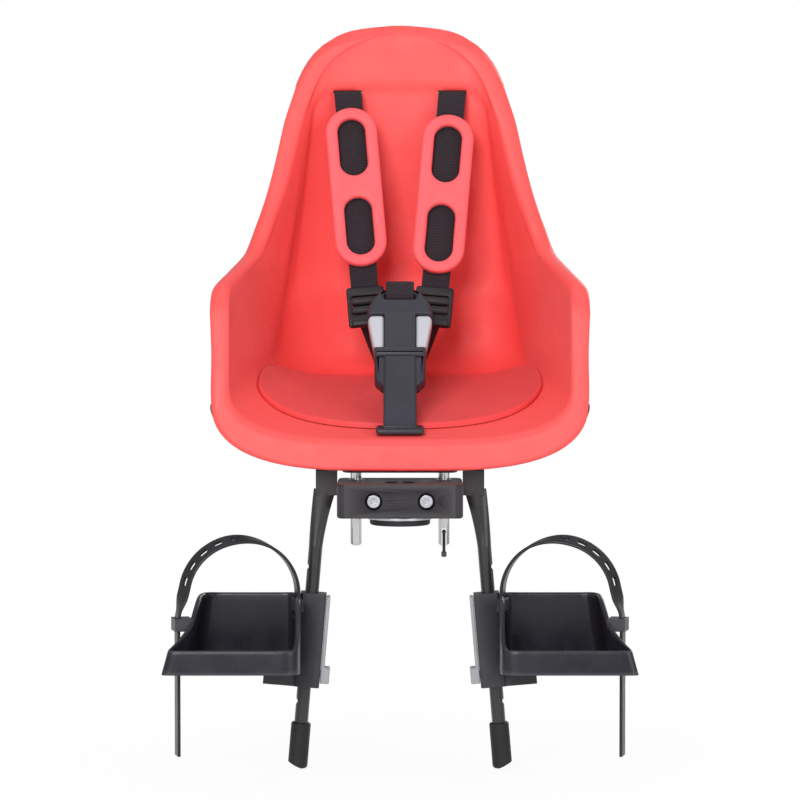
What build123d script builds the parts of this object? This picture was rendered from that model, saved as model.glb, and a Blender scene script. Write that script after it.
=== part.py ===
from build123d import *
import math
import os

# Front child seat for a bicycle: a foam bucket on a steel carrier, whose two pins drop into a stem clamp.
# Frame: origin on the stem axis at mid-height of the clamp block, +Z up the stem, the child faces -Y.
# All sizes are in millimetres.

# Fits
running_fit = 0.1
soft_gap = 0.3
wall_gap = 0.5

# Stem clamp
stem_radius = 12.7
bush_wall = 2.3
bush_slit = 5.0
bush_flange_radius = 26.0
bush_flange_thickness = 5.0
washer_radius = 28.0
washer_thickness = 2.0
block_width = 108.0
block_height = 29.0
block_front = -27.0
block_back = 54.0
block_split_gap = 1.6
block_corner = 7.0
block_edge = 2.2
bolt_spacing = 45.0
bolt_radius = 4.0
bolt_head_radius = 6.2
bolt_head_height = 5.0
bolt_recess_radius = 7.4
bolt_recess_depth = 6.5
bolt_drive_radius = 2.6
nut_flats = 13.0
nut_height = 6.5
nut_seat = 34.0

# Carrier under the seat
pin_spacing = 76.6
pin_y = 40.0
pin_radius = 5.0
pin_tip_drop = 29.0
pin_tip_chamfer = 1.6
pin_bush_wall = 2.0
pin_bush_flange_radius = 10.2
pin_bush_flange_thickness = 2.5
pin_bush_collar_radius = 8.2
pin_bush_collar_height = 2.2
plate_under = 22.0
plate_thickness = 4.0
plate_front_half = 50.0
plate_rear_half = 74.0
plate_front_reach = 8.0
plate_step = 8.0
plate_rear_reach = 72.0
plate_screw_radius = 3.0
plate_screw_head_radius = 5.5
plate_screw_head_height = 3.0
plate_screw_length = 8.0

# Latch in the slotted right pin
latch_slot_width = 3.6
latch_slot_length = 15.0
latch_pivot_radius = 1.0
latch_thickness = 2.6
latch_length = 17.0
latch_head = 4.6

# Legs
leg_radius = 6.0
leg_bore_radius = 4.6
leg_y = 42.0
leg_top_x = 64.0
leg_round_z = -45.0
leg_round_x = 73.6
leg_lean = 0.0835
leg_end_z = -216.0
leg_flat_width = 20.0
leg_flat_thickness = 5.0
leg_tab_length = 46.0
leg_bolt_radius = 3.0
leg_bolt_rise = 7.5
notch_pitch = 29.5
notch_count = 5
notch_first_z = -62.0
notch_depth = 1.4
notch_radius = 3.0
cap_radius = 8.6
cap_length = 40.0
cap_cover = 17.0
cap_slant = 28.0

# Footrests
tray_floor_z = -147.0
tray_back_height = 61.0
tray_front_height = 20.5
tray_wall = 3.6
tray_front_y = -42.0
tray_back_y = 52.0
tray_outer_x = 208.0
tray_inner_x = 86.0
tray_taper = 21.0
tray_flare_y = -10.0
tray_draft = 9.0
tray_corner = 15.0
tray_toe_corner = 7.0
sleeve_outer = 9.5
sleeve_inner = 13.0
sleeve_half_depth = 11.0
sleeve_top_z = -85.0
sleeve_bottom_z = -167.0
lock_bar_reach = 36.0
lock_bar_height = 15.0
lock_strip_thickness = 3.2
lock_strip_half = 8.5
lock_tab_reach = 8.0
lock_tab_height = 14.0
lock_tab_z = -156.0
lock_nose_half = 3.0
lock_nose_width = 4.0

# Foot straps
foot_strap_width = 16.0
foot_strap_thickness = 2.6
foot_strap_turn = 14.0
foot_arch_radius = 53.0
foot_tail_length = 138.0
foot_slot_length = 7.5
foot_slot_width = 5.0
foot_slot_step = 16.0
foot_slot_count = 5
catch_length = 11.0
catch_wall = 2.0
catch_root = 8.0
catch_z = {-1: -24.0, 1: -10.0}

# Seat shell, as sections that fan about a line across the seat
fan_y = 72.0
fan_z = 240.0
shell_wall = 17.0
lip_extra = 12.0
lip_fade = 30.0
front_angle = -13.4
top_angle = 134.6
pan_y = 45.0
pan_z = 54.0
pan_slope = 0.21
back_y = 240.0
back_lean = 0.03
wing_y = 60.0
wing_z = 172.0
wing_slope = 0.30
wing_corner = 24.0
waist_y = 185.0
waist_z = 210.0
rim_lean = 0.33
rim_step = 7.0
wing_half = 166.0
waist_half = 139.5
head_half = 96.5
head_z = 370.0
crown_taper = 0.38
crown_drop = 70.0
crown_rise = 48.5
crown_power = 2.6
bowl_power = 3.3
bowl_round = 2.5
panel_depth = 2.6
panel_top_half = 79.0
panel_bottom_half = 101.0
panel_top_z = 364.0
panel_bottom_z = 176.0
panel_corner = 24.0

# Base shell under and behind the foam
base_wall = 3.0
base_gap = 0.9
base_front_y = 52.0
base_side_z = 78.0
base_top_z = 332.0
base_hip_half = 126.0
base_waist_half = 88.0
base_top_half = 66.0

# Seat pad
pad_thickness = 6.0
pad_front_y = 56.0
pad_rear_y = 214.0
pad_half = 126.0
pad_side_rise = 24.0

# Harness
web_width = 25.0
web_thickness = 1.8
lower_web_width = 16.0
slot_clear = 0.3
strap_top_x = 48.0
strap_top_z = 356.0
strap_low_x = 32.0
strap_low_z = 178.0
strap_low_y = 174.0
strap_tail = 27.0
anchor_width = 34.0
anchor_height = 10.0
anchor_thickness = 5.0
lower_slot_x = 22.0
lower_slot_z = 104.0
shoulder_pad_length = 152.0
shoulder_pad_width = 47.0
shoulder_pad_thickness = 8.0
shoulder_end_wall = 10.5
shoulder_bridge = 21.0
shoulder_window_length = (shoulder_pad_length - 2 * shoulder_end_wall - shoulder_bridge) / 2
shoulder_window_width = 25.4
shoulder_window_pitch = shoulder_window_length + shoulder_bridge
keeper_wall = 2.2
keeper_length = 12.0
pad_left_place = 0.50
pad_right_place = 0.535
adjuster_width = 34.0
adjuster_length = 37.0
adjuster_thickness = 6.0
adjuster_bar = 4.2

# Buckle and its post
post_y = 41.0
post_z = 54.5
post_lean = 40.0
post_width = 29.0
post_thickness = 9.0
post_length = 47.0
post_foot_width = 42.0
post_foot_depth = 16.0
post_foot_height = 5.0
collar_width = 45.0
collar_thickness = 16.0
collar_length = 32.0
buckle_gap = 0.5
buckle_length = 78.0
buckle_low_width = 45.0
buckle_high_width = 58.0
buckle_thickness = 18.0
buckle_wall = 2.4
button_length = 31.0
button_depth = 15.0
button_travel = 2.5
button_proud = 0.8
button_place = 30.0


def smooth_least(first, second, power):
    """The smaller of two reaches, with the corner between them rounded."""
    return (first ** -power + second ** -power) ** (-1.0 / power)


def ease(share):
    """A share from 0 to 1, eased at both ends."""
    held = min(max(share, 0.0), 1.0)
    return held * held * (3.0 - 2.0 * held)


def sloping_reach(angle, y, z, slope):
    """How far from the fan line a section meets a floor through (y, z)."""
    turn = math.radians(angle)
    closing = math.cos(turn) + slope * math.sin(turn)
    return (fan_z - z - slope * (fan_y - y)) / max(closing, 1e-3)


def upright_reach(angle, y, z, lean):
    """How far from the fan line a section meets an upright through (y, z)."""
    turn = math.radians(angle)
    closing = math.sin(turn) + lean * math.cos(turn)
    return (y - fan_y + lean * (fan_z - z)) / max(closing, 1e-3)


def inner_reach(angle):
    """The seat's inside at mid-width: pan, corner and back."""
    pan = sloping_reach(angle, pan_y, pan_z, pan_slope)
    return smooth_least(pan, upright_reach(angle, back_y, fan_z, back_lean), 10.0)


def rim_line(angle):
    """The rim in side view: wing top, waist and the edge of the back."""
    wing = sloping_reach(angle, wing_y, wing_z, wing_slope)
    edge = upright_reach(angle, waist_y, waist_z, rim_lean)
    step = rim_step * (1.0 - 0.85 * ease((angle - 85.0) / 40.0))
    return smooth_least(smooth_least(wing, edge, 12.0), inner_reach(angle) - step, 40.0)


def wing_round(angle):
    """How much the rim drops where the wing rounds off at the front."""
    travel = rim_line(front_angle) * math.radians(angle - front_angle) + 3.0
    if travel >= wing_corner:
        return 0.0
    return wing_corner - math.sqrt(wing_corner ** 2 - (wing_corner - max(travel, 0.0)) ** 2)


def rim_half(z):
    """Half the seat's width at the rim, by height."""
    middle = (wing_half + waist_half) / 2 + 1.5
    half = between(z, (
        (0.0, wing_half + 0.1), (waist_z - 38.0, wing_half), (waist_z - 20.0, middle), (waist_z, waist_half),
        (head_z, head_half), (head_z + crown_rise, head_half - crown_taper * crown_rise)))
    rise = min(max((z - head_z) / crown_rise, 0.0), 0.995)
    return half - crown_drop * (1.0 - (1.0 - rise ** crown_power) ** (1.0 / crown_power))


def between(place, stops):
    """A smooth curve through named stops, without overshoot."""
    spans = [(b[1] - a[1]) / (b[0] - a[0]) for a, b in zip(stops, stops[1:])]
    slopes = [spans[0]]
    for low, high in zip(spans, spans[1:]):
        slopes.append(2.0 * low * high / (low + high) if low * high > 0 else 0.0)
    slopes.append(spans[-1])
    held = min(max(place, stops[0][0]), stops[-1][0])
    index = max(i for i, stop in enumerate(stops[:-1]) if held >= stop[0])
    (start, low), (end, high) = stops[index], stops[index + 1]
    wide = end - start
    t = (held - start) / wide
    rise = low * (1 + 2 * t) * (1 - t) ** 2 + high * t * t * (3 - 2 * t)
    return rise + wide * t * (1 - t) * (slopes[index] * (1 - t) - slopes[index + 1] * t)


def chord_shares(points):
    """Where each point of a curve lies along its length, from 0 to 1."""
    shares = [0.0]
    for a, b in zip(points, points[1:]):
        shares.append(shares[-1] + (b - a).length)
    return [share / shares[-1] for share in shares]


def fan_point(x, reach, angle):
    """A point at a reach from the fan line, in the section at an angle."""
    turn = math.radians(angle)
    return Vector(x, fan_y + reach * math.sin(turn), fan_z - reach * math.cos(turn))


class SeatSection:
    """The bucket's cross-section in one plane of the fan."""

    def __init__(self, angle, inset=0.0):
        self.angle = angle
        down = math.cos(math.radians(angle))
        crown = 0.85 * ease((angle - top_angle + 16.0) / 10.0)
        rim = rim_line(angle)
        height = fan_z - (rim + crown * (inner_reach(angle) + shell_wall - rim)) * down
        lip = lip_extra * max(0.0, 1.0 - (angle - front_angle) / lip_fade) ** 2
        self.inner = inner_reach(angle) + inset
        self.outer = inner_reach(angle) + shell_wall + lip - inset
        self.rim = rim + wing_round(angle) + inset
        self.half_out = rim_half(height) - inset
        self.half_in = self.half_out - shell_wall + 2.0 * inset
        corner, upright, head = 46.0, 90.0, 128.0
        floor_half = between(angle, (
            (front_angle, wing_half - shell_wall - 1.0), (corner, wing_half * 0.69),
            (upright, panel_bottom_half - 6.0), (head, panel_top_half), (top_angle, panel_top_half - 4.0)))
        self.bowl_half = min(floor_half + inset, self.half_in - 1.0)
        deep = between(angle, ((front_angle, 47.0), (corner, 41.0), (80.0, 18.0), (140.0, 8.0)))
        deep_out = between(angle, (
            (front_angle, 66.0), (corner, 58.0), (80.0, 39.0), (116.0, 18.0), (top_angle, 4.0)))
        self.bowl_depth = min(deep, (self.inner - self.rim) * 0.85)
        self.bowl_depth_out = min(deep_out, (self.outer - self.rim) * 0.85)

    def bowl(self, deep, depth, half, rim_x):
        """Points from the middle across the bowl and up the wall to the rim."""
        turns = [math.pi / 2 * step / 7 for step in range(8)]
        across = [half * math.sin(turn) ** (2.0 / bowl_power) for turn in turns]
        fall = [depth * max(math.cos(turn), 0.0) ** (2.0 / bowl_round) for turn in turns]
        curve = [(x, deep - depth + drop) for x, drop in zip(across, fall)]
        foot_x, foot_reach = curve[-1]
        wall = [
            (foot_x + (rim_x - foot_x) * step / 3, foot_reach + (self.rim - foot_reach) * step / 3)
            for step in (1, 2, 3)
        ]
        half_curve = curve + wall
        full = [(-x, reach) for x, reach in reversed(half_curve[1:])] + half_curve
        return [fan_point(x, reach, self.angle) for x, reach in full]

    def inner_face(self, inset=0.0):
        """Points along the inside, moved into the bucket by an inset."""
        return self.bowl(self.inner - inset, self.bowl_depth, self.bowl_half - inset, self.half_in - inset)

    def outer_face(self, offset=0.0):
        """Points along the outside, moved outwards by an offset."""
        half = min(self.bowl_half + shell_wall, self.half_out)
        return self.bowl(self.outer + offset, self.bowl_depth_out, half + offset, self.half_out + offset)

    def wire(self):
        """The closed outline of the wall, with rounded rims."""
        inner = self.inner_face()
        outer = self.outer_face()
        middle = (self.half_in + self.half_out) / 2
        crest = self.rim - (self.half_out - self.half_in) * 0.38
        right = fan_point(middle, crest, self.angle)
        left = fan_point(-middle, crest, self.angle)
        return Wire([
            face_curve(inner),
            Edge.make_three_point_arc(inner[-1], right, outer[-1]),
            face_curve(list(reversed(outer))),
            Edge.make_three_point_arc(outer[0], left, inner[0]),
        ])

    def band(self, near, far):
        """The closed outline between two curves across the seat."""
        return Wire([
            face_curve(near),
            Edge.make_line(near[-1], far[-1]),
            face_curve(list(reversed(far))),
            Edge.make_line(far[0], near[0]),
        ])


def face_curve(points):
    """A smooth curve through a face's points, spaced alike in every section."""
    return Edge.make_spline(points, parameters=chord_shares(SeatSection(27.0).inner_face()))


def angle_at(y):
    """The section whose pan is at a place along the seat."""
    z = pan_z + pan_slope * (y - pan_y)
    return math.degrees(math.atan2(y - fan_y, fan_z - z))


def on_pan(y, lift=0.0):
    """A point on the middle of the seat's floor."""
    angle = angle_at(y)
    return fan_point(0.0, inner_reach(angle) - lift, angle)


def on_back(z):
    """How far back the inside of the backrest is at a height."""
    return back_y + back_lean * (z - fan_z)


def both_sides(shape):
    """A left-hand shape and its mirror image."""
    return shape, mirror(shape, about=Plane.YZ)


def upright_box(x0, x1, y0, y1, z0, z1):
    """A box between two corners."""
    box = Box(x1 - x0, y1 - y0, z1 - z0)
    return box.translate(((x0 + x1) / 2, (y0 + y1) / 2, (z0 + z1) / 2))


def rod(radius, start, end):
    """A round bar between two points."""
    start, end = Vector(*start), Vector(*end)
    plane = Plane(origin=start, z_dir=end - start)
    return Solid.make_cylinder(radius, (end - start).length, plane)


def hexagon_bar(flats, height, centre):
    """A hexagonal bar along Y from a point."""
    plane = Plane(origin=centre, x_dir=(1, 0, 0), z_dir=(0, 1, 0))
    return extrude(plane * RegularPolygon(flats / math.sqrt(3.0), 6), amount=height)


def across_x(points, half, fillet_radius=0.0, centre=0.0):
    """A side-view outline, extruded across the seat."""
    plane = Plane(origin=(centre, 0, 0), x_dir=(0, 1, 0), z_dir=(1, 0, 0))
    face = make_face(Polyline(*points, close=True))
    if fillet_radius:
        face = fillet(face.vertices(), fillet_radius)
    return extrude(plane * face, amount=half, both=True)


# Stem clamp
half_height = block_height / 2
bush_radius = stem_radius + bush_wall
bore_radius = bush_radius + running_fit
pin_bush_radius = pin_radius + running_fit + pin_bush_wall
bolt_xs = (-bolt_spacing / 2, bolt_spacing / 2)
pin_xs = (-pin_spacing / 2, pin_spacing / 2)


def block_half(y0, y1, corners_at):
    """One half of the clamp block, before its holes are cut."""
    block = upright_box(-block_width / 2, block_width / 2, y0, y1, -half_height, half_height)
    uprights = [e for e in block.edges().filter_by(Axis.Z) if abs(e.center().Y - corners_at) < 1]
    block = fillet(uprights, block_corner)
    caps = block.faces().sort_by(Axis.Z)
    rims = [e for f in (caps[0], caps[-1]) for e in f.edges() if abs(e.center().Y) > abs(block_split_gap)]
    block = chamfer(rims, block_edge * 0.6)
    return block - rod(bore_radius, (0, 0, -block_height), (0, 0, block_height))


def clamp_front():
    """The front half, with two recessed bolt seats."""
    part = block_half(block_front, -block_split_gap / 2, block_front)
    for x in bolt_xs:
        part -= rod(bolt_radius + running_fit, (x, block_front - 1, 0), (x, 1, 0))
        part -= rod(bolt_recess_radius, (x, block_front - 1, 0), (x, block_front + bolt_recess_depth, 0))
    return part


def clamp_rear():
    """The rear half, with nut pockets and the two pin sockets."""
    part = block_half(block_split_gap / 2, block_back, block_back)
    for x in bolt_xs:
        part -= rod(bolt_radius + running_fit, (x, -1, 0), (x, block_back, 0))
        part -= hexagon_bar(nut_flats + 2 * running_fit, block_back, (x, nut_seat, 0))
    for x in pin_xs:
        part -= rod(pin_bush_radius + running_fit / 2, (x, pin_y, -block_height), (x, pin_y, block_height))
    return part


def clamp_bolts():
    """Two cap screws with a socket in the head."""
    seat = block_front + bolt_recess_depth
    bolts = []
    for x in bolt_xs:
        bolt = rod(bolt_radius, (x, seat, 0), (x, nut_seat + nut_height + 2, 0))
        bolt += rod(bolt_head_radius, (x, seat - bolt_head_height, 0), (x, seat, 0))
        front = bolt.faces().sort_by(Axis.Y)[0]
        bolt = chamfer(front.edges(), 0.9)
        bolt -= hexagon_bar(bolt_drive_radius * 2, bolt_head_height * 0.6, (x, seat - bolt_head_height, 0))
        bolts.append(bolt)
    return Compound(bolts)


def clamp_nuts():
    """Two hexagon nuts in the rear pockets."""
    nuts = []
    for x in bolt_xs:
        nut = hexagon_bar(nut_flats, nut_height, (x, nut_seat, 0))
        nuts.append(nut - rod(bolt_radius + running_fit / 2, (x, 0, 0), (x, block_back, 0)))
    return Compound(nuts)


def stem_bush():
    """The split rubber bush that grips the stem, with its flange below."""
    low = -half_height - washer_thickness - bush_flange_thickness
    bush = rod(bush_radius, (0, 0, low), (0, 0, half_height))
    bush += rod(bush_flange_radius, (0, 0, low), (0, 0, low + bush_flange_thickness))
    bush = chamfer(bush.faces().sort_by(Axis.Z)[0].edges(), 1.0)
    bush -= rod(stem_radius, (0, 0, low - 1), (0, 0, half_height + 1))
    slit = upright_box(-bush_slit / 2, bush_slit / 2, 0, bush_flange_radius + 1, low - 1, half_height + 1)
    return bush - slit


def bush_washer():
    """The steel ring between the block and the flange."""
    top = -half_height
    ring = rod(washer_radius, (0, 0, top - washer_thickness), (0, 0, top))
    return ring - rod(bush_radius + running_fit, (0, 0, top - washer_thickness - 1), (0, 0, top + 1))


def pin_bushes():
    """Two flanged steel bushes that the pins slide through."""
    bushes = []
    low = -half_height
    for x in pin_xs:
        bush = rod(pin_bush_radius, (x, pin_y, low), (x, pin_y, half_height))
        bush += rod(pin_bush_flange_radius, (x, pin_y, low - pin_bush_flange_thickness), (x, pin_y, low))
        foot = low - pin_bush_flange_thickness - pin_bush_collar_height
        bush += rod(pin_bush_collar_radius, (x, pin_y, foot), (x, pin_y, low))
        bush -= rod(pin_radius + running_fit, (x, pin_y, foot - 1), (x, pin_y, half_height + 1))
        bushes.append(bush)
    return Compound(bushes)


# Carrier: plate, pins and legs
slope_angle = math.degrees(math.atan(pan_slope))
plate_plane = Plane(
    origin=(0, pin_y, plate_under), x_dir=(1, 0, 0),
    z_dir=(0, -math.sin(math.radians(slope_angle)), math.cos(math.radians(slope_angle))))
plate_screw_places = [(x, y) for x in (-30.0, 30.0) for y in (24.0, 60.0)]
leg_bolt_y = 40.0


def plate_outline(rear):
    """The carrier plate's outline in its own plane."""
    right = [
        (plate_front_half, -plate_front_reach), (plate_front_half, plate_step - 6),
        (plate_rear_half, plate_step + 8), (plate_rear_half, rear),
    ]
    left = [(-x, y) for x, y in reversed(right)]
    face = make_face(Polyline(*right, *left, close=True))
    return fillet(face.vertices(), 5.0)


def carrier_plate():
    """The steel plate that carries the pins and the legs."""
    plate = extrude(plate_plane * plate_outline(plate_rear_reach), amount=plate_thickness)
    for x, y in plate_screw_places:
        hole = plate_plane * Pos(x, y) * Circle(plate_screw_radius + running_fit)
        plate -= extrude(hole, amount=50, both=True)
    for x in (-leg_top_x, leg_top_x):
        hole = plate_plane * Pos(x, leg_bolt_y) * Circle(leg_bolt_radius + running_fit)
        plate -= extrude(hole, amount=50, both=True)
    return plate


def plate_screws():
    """Screws that hold the carrier plate to the base shell."""
    screws = []
    for x, y in plate_screw_places:
        place = plate_plane * Pos(x, y)
        head = extrude(place * Circle(plate_screw_head_radius), amount=-plate_screw_head_height)
        shank = extrude(place * Circle(plate_screw_radius), amount=plate_screw_length)
        screws.append(head + shank)
    return Compound(screws)


def leg_bolts():
    """One bolt through each leg's flattened end, with its head below."""
    bolts = []
    for x in (-leg_top_x, leg_top_x):
        place = plate_plane * Pos(x, leg_bolt_y)
        under = -leg_flat_thickness
        head = extrude(place * Pos(0, 0, under) * RegularPolygon(5.8, 6), amount=-4.0)
        length = leg_flat_thickness + leg_bolt_rise
        shank = extrude(place * Pos(0, 0, under) * Circle(leg_bolt_radius), amount=length)
        bolts.append(head + shank)
    return Compound(bolts)


def seat_pin(x):
    """One chromed pin, chamfered at its tip and cut to the plate at its top."""
    tip = -half_height - pin_tip_drop
    pin = rod(pin_radius, (x, pin_y, tip), (x, pin_y, plate_under + 20))
    pin = chamfer(pin.faces().sort_by(Axis.Z)[0].edges(), pin_tip_chamfer)
    return pin - extrude(plate_plane * Rectangle(300, 300), amount=60)


latch_z = -half_height - pin_tip_drop + 11.5


def pin_right():
    """The right pin, with a slot and a cross hole for the latch."""
    x = pin_xs[1]
    slot_half = latch_slot_width / 2
    tip = -half_height - pin_tip_drop
    slot = upright_box(x - slot_half, x + slot_half, 0, pin_y * 2, tip - 1, latch_z + 3.5)
    pin = seat_pin(x) - slot
    hole = rod(latch_pivot_radius + running_fit / 4, (x - 20, pin_y, latch_z), (x + 20, pin_y, latch_z))
    return pin - hole


def latch_pivot():
    """The cross pin that the latch swings on."""
    x = pin_xs[1]
    reach = pin_radius - 0.4
    return rod(latch_pivot_radius, (x - reach, pin_y, latch_z), (x + reach, pin_y, latch_z))


def pin_latch():
    """The small black catch that hangs in the slotted pin."""
    x = pin_xs[1]
    half = latch_thickness / 2
    body = upright_box(x - half, x + half, pin_y - 1.6, pin_y + 1.6, latch_z - latch_length, latch_z)
    eye = rod(2.2, (x - half, pin_y, latch_z), (x + half, pin_y, latch_z))
    low = latch_z - latch_length
    head = upright_box(
        x - latch_head / 2, x + latch_head / 2, pin_y - latch_head / 2, pin_y + latch_head / 2,
        low - latch_head, low)
    hole = rod(latch_pivot_radius + running_fit, (x - 5, pin_y, latch_z), (x + 5, pin_y, latch_z))
    return body + eye + chamfer(head.edges(), 0.6) - hole


def leg_x(z):
    """How far out the round part of a leg is, at a height."""
    return leg_round_x + leg_lean * (leg_round_z - z)


def leg_axis_plane(z):
    """A plane square to the left leg's round part."""
    return Plane(origin=(-leg_x(z), leg_y, z), x_dir=(1, 0, -leg_lean), z_dir=(leg_lean, 0, 1))


def leg_left():
    """A tube whose upper end is pressed flat and bent back under the plate."""
    tube = rod(leg_radius, (-leg_x(leg_end_z), leg_y, leg_end_z), (-leg_round_x, leg_y, leg_round_z))
    flat_z = 6.0
    flat_x = leg_top_x + 1.2
    sections = [
        leg_axis_plane(leg_round_z) * Circle(leg_radius),
        Plane(origin=(-leg_round_x + 3.6, leg_y, -18.0)) * Ellipse(leg_radius * 1.28, leg_radius * 0.62),
        Plane(origin=(-flat_x, leg_y, flat_z)) * Ellipse(leg_flat_width / 2, leg_flat_thickness / 2),
    ]
    pressed = Solid.make_loft([s.faces()[0].outer_wire() for s in sections])
    half = leg_flat_thickness / 2
    turn = math.radians(slope_angle)
    bend_z = plate_under + (leg_y - pin_y) * pan_slope
    rise = math.tan(turn)
    outline = [
        (leg_y - half, flat_z - 6), (leg_y + half, flat_z - 6),
        (leg_y + half, bend_z + half * rise - leg_flat_thickness / math.cos(turn)),
        (leg_y + leg_tab_length, bend_z + leg_tab_length * rise - leg_flat_thickness / math.cos(turn)),
        (leg_y + leg_tab_length, bend_z + leg_tab_length * rise - 0.02),
        (leg_y - half, bend_z - half * rise - 0.02),
    ]
    tab = across_x(outline, leg_flat_width / 2 - 0.6, centre=-leg_top_x)
    leg = tube + pressed + tab
    leg -= rod(leg_bore_radius, leg_point(leg_end_z - 1), leg_point(leg_round_z - 8))
    hole = plate_plane * Pos(-leg_top_x, leg_bolt_y) * Circle(leg_bolt_radius + running_fit)
    leg -= extrude(hole, amount=40, both=True)
    for step in range(notch_count):
        z = notch_first_z - step * notch_pitch
        x = -leg_x(z) - leg_radius - notch_radius + notch_depth
        leg -= rod(notch_radius, (x, leg_y - 10, z), (x, leg_y + 10, z))
    return leg


def cap_left():
    """The rubber boot on the end of a leg, with a slanted sole."""
    top = leg_end_z + cap_cover
    low = top - cap_length
    plane = leg_axis_plane(low)
    length = cap_length * math.hypot(1.0, leg_lean)
    cap = extrude(plane * Circle(cap_radius), amount=length)
    cap = fillet(cap.faces().sort_by(Axis.Z)[0].edges(), 3.0)
    cap = chamfer(cap.faces().sort_by(Axis.Z)[-1].edges(), 1.0)
    sole = Plane(
        origin=(-leg_x(low) + 3.0, leg_y, low), x_dir=(0, 1, 0),
        z_dir=(-math.sin(math.radians(cap_slant)), 0, -math.cos(math.radians(cap_slant))))
    cap -= extrude(sole * Rectangle(60, 60), amount=30)
    return cap - rod(leg_radius + running_fit / 2, leg_point(leg_end_z), leg_point(top + 5))


# Footrests, built for the left side
tray_top_z = tray_floor_z + tray_back_height


def tray_outline(z, inset):
    """The tray's outline from above, at a height."""
    share = (z - tray_floor_z) / tray_back_height
    draft = tray_draft * share
    front = tray_front_y + draft * 0.6 + inset
    back = tray_back_y - inset
    outer_front = -tray_outer_x + draft * 2.0 + inset
    outer_side = -tray_outer_x + tray_taper + draft + inset
    inner = -tray_inner_x - inset
    toe = (outer_front, front)
    points = [toe, (inner, front), (inner, back), (outer_side + 4.0, back), (outer_side, tray_flare_y)]
    face = make_face(Polyline(*points, close=True))
    face = fillet(face.vertices().sort_by_distance((*toe, 0))[1:], tray_corner - inset * 0.8)
    face = fillet(face.vertices().sort_by_distance((*toe, 0))[0], tray_toe_corner - inset * 0.8)
    return Plane(origin=(0, 0, z)) * face


def tray_body():
    """The foot tray: flared wall, high at the heel and low at the toe."""
    over = tray_top_z + 12.0
    body = loft([tray_outline(tray_floor_z, 0.0), tray_outline(over, 0.0)])
    hollow = loft([tray_outline(tray_floor_z + tray_wall, tray_wall), tray_outline(over + 1.0, tray_wall)])
    body -= hollow
    front_z = tray_floor_z + tray_front_height
    cut = [
        (tray_front_y - 20, front_z), (tray_front_y + 22, front_z), (tray_back_y - 24, tray_top_z - 3),
        (tray_back_y + 20, tray_top_z), (tray_back_y + 20, over + 20), (tray_front_y - 20, over + 20),
    ]
    plane = Plane(origin=(-150, 0, 0), x_dir=(0, 1, 0), z_dir=(1, 0, 0))
    face = make_face(Polyline(*cut, close=True))
    rounded = fillet(face.vertices().sort_by(Axis.Y)[2:4], 26.0)
    return body - extrude(plane * rounded, amount=200, both=True)


sleeve_plane = leg_axis_plane(sleeve_bottom_z)
sleeve_length = (sleeve_top_z - sleeve_bottom_z) * math.hypot(1.0, leg_lean)
sleeve_bore = leg_radius + soft_gap


def sleeve_box(x0, x1, y_half, s0, s1):
    """A box in the sleeve's own frame, whose Z runs up the leg."""
    box = upright_box(x0, x1, -y_half, y_half, s0, s1)
    return sleeve_plane * box


lock_s = (lock_tab_z - sleeve_bottom_z) * math.hypot(1.0, leg_lean)


def footrest_left():
    """Tray, sleeve on the leg, lock bar and strap catch, moulded as one."""
    part = tray_body()
    sleeve = sleeve_box(-sleeve_outer, sleeve_inner, sleeve_half_depth, 0, sleeve_length)
    sleeve = chamfer(sleeve.edges().filter_by(Axis((0, 0, 0), (leg_lean, 0, 1))), 2.0)
    part += sleeve
    part += sleeve_box(-lock_bar_reach, 0, sleeve_half_depth - 2, 0, lock_bar_height)
    hollow = loft([tray_outline(tray_floor_z + 2, tray_wall), tray_outline(tray_top_z, tray_wall)])
    part += strap_holder(-1) - hollow
    part += strap_holder(1)
    part -= strap_slots()
    part -= rod(sleeve_bore, leg_point(sleeve_bottom_z - 20), leg_point(sleeve_top_z + 20))
    window = sleeve_box(
        0, sleeve_inner + 5, lock_nose_width + wall_gap,
        lock_s - lock_nose_half - wall_gap, lock_s + lock_nose_half + wall_gap)
    return part - window


def strap_holder(side):
    """The block on a tray's wall that a foot strap passes into."""
    half = foot_strap_width / 2 + catch_wall
    reach = foot_strap_thickness / 2 + soft_gap + catch_wall
    inward = catch_root if side < 0 else 0.0
    block = upright_box(-reach, reach + inward, -half, half, -catch_length / 2, catch_length / 2)
    return Location(strap_place(side * foot_arch_radius, catch_z[side]), (0, 0, foot_strap_turn)) * block


def strap_slots():
    """The openings in both blocks that the strap passes through."""
    half = foot_strap_width / 2 + soft_gap
    thick = foot_strap_thickness / 2 + soft_gap
    slots = []
    for side in (-1, 1):
        low = -catch_length if side < 0 else -catch_length / 2 + catch_wall
        slot = upright_box(-thick, thick, -half, half, low, catch_length)
        place = strap_place(side * foot_arch_radius, catch_z[side])
        slots.append(Location(place, (0, 0, foot_strap_turn)) * slot)
    return slots


def leg_point(z):
    """A point on the left leg's axis."""
    return (-leg_x(z), leg_y, z)


def footrest_lock_left():
    """The grey lock: a strip up the sleeve, a finger tab and a nose."""
    face = sleeve_inner + soft_gap
    strip = sleeve_box(face, face + lock_strip_thickness, lock_strip_half, 4.0, sleeve_length - 2.0)
    strip = chamfer(strip.edges(), 0.8)
    tab_half = lock_tab_height / 2
    tab = sleeve_box(face + 0.5, face + lock_tab_reach, lock_strip_half, lock_s - tab_half, lock_s + tab_half)
    tab = chamfer(tab.edges(), 0.8)
    nose = sleeve_box(
        leg_radius + soft_gap, face + 1.0, lock_nose_width,
        lock_s - lock_nose_half, lock_s + lock_nose_half)
    nose -= rod(sleeve_bore, leg_point(sleeve_bottom_z - 20), leg_point(sleeve_top_z + 20))
    return strip + tab + nose


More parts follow.
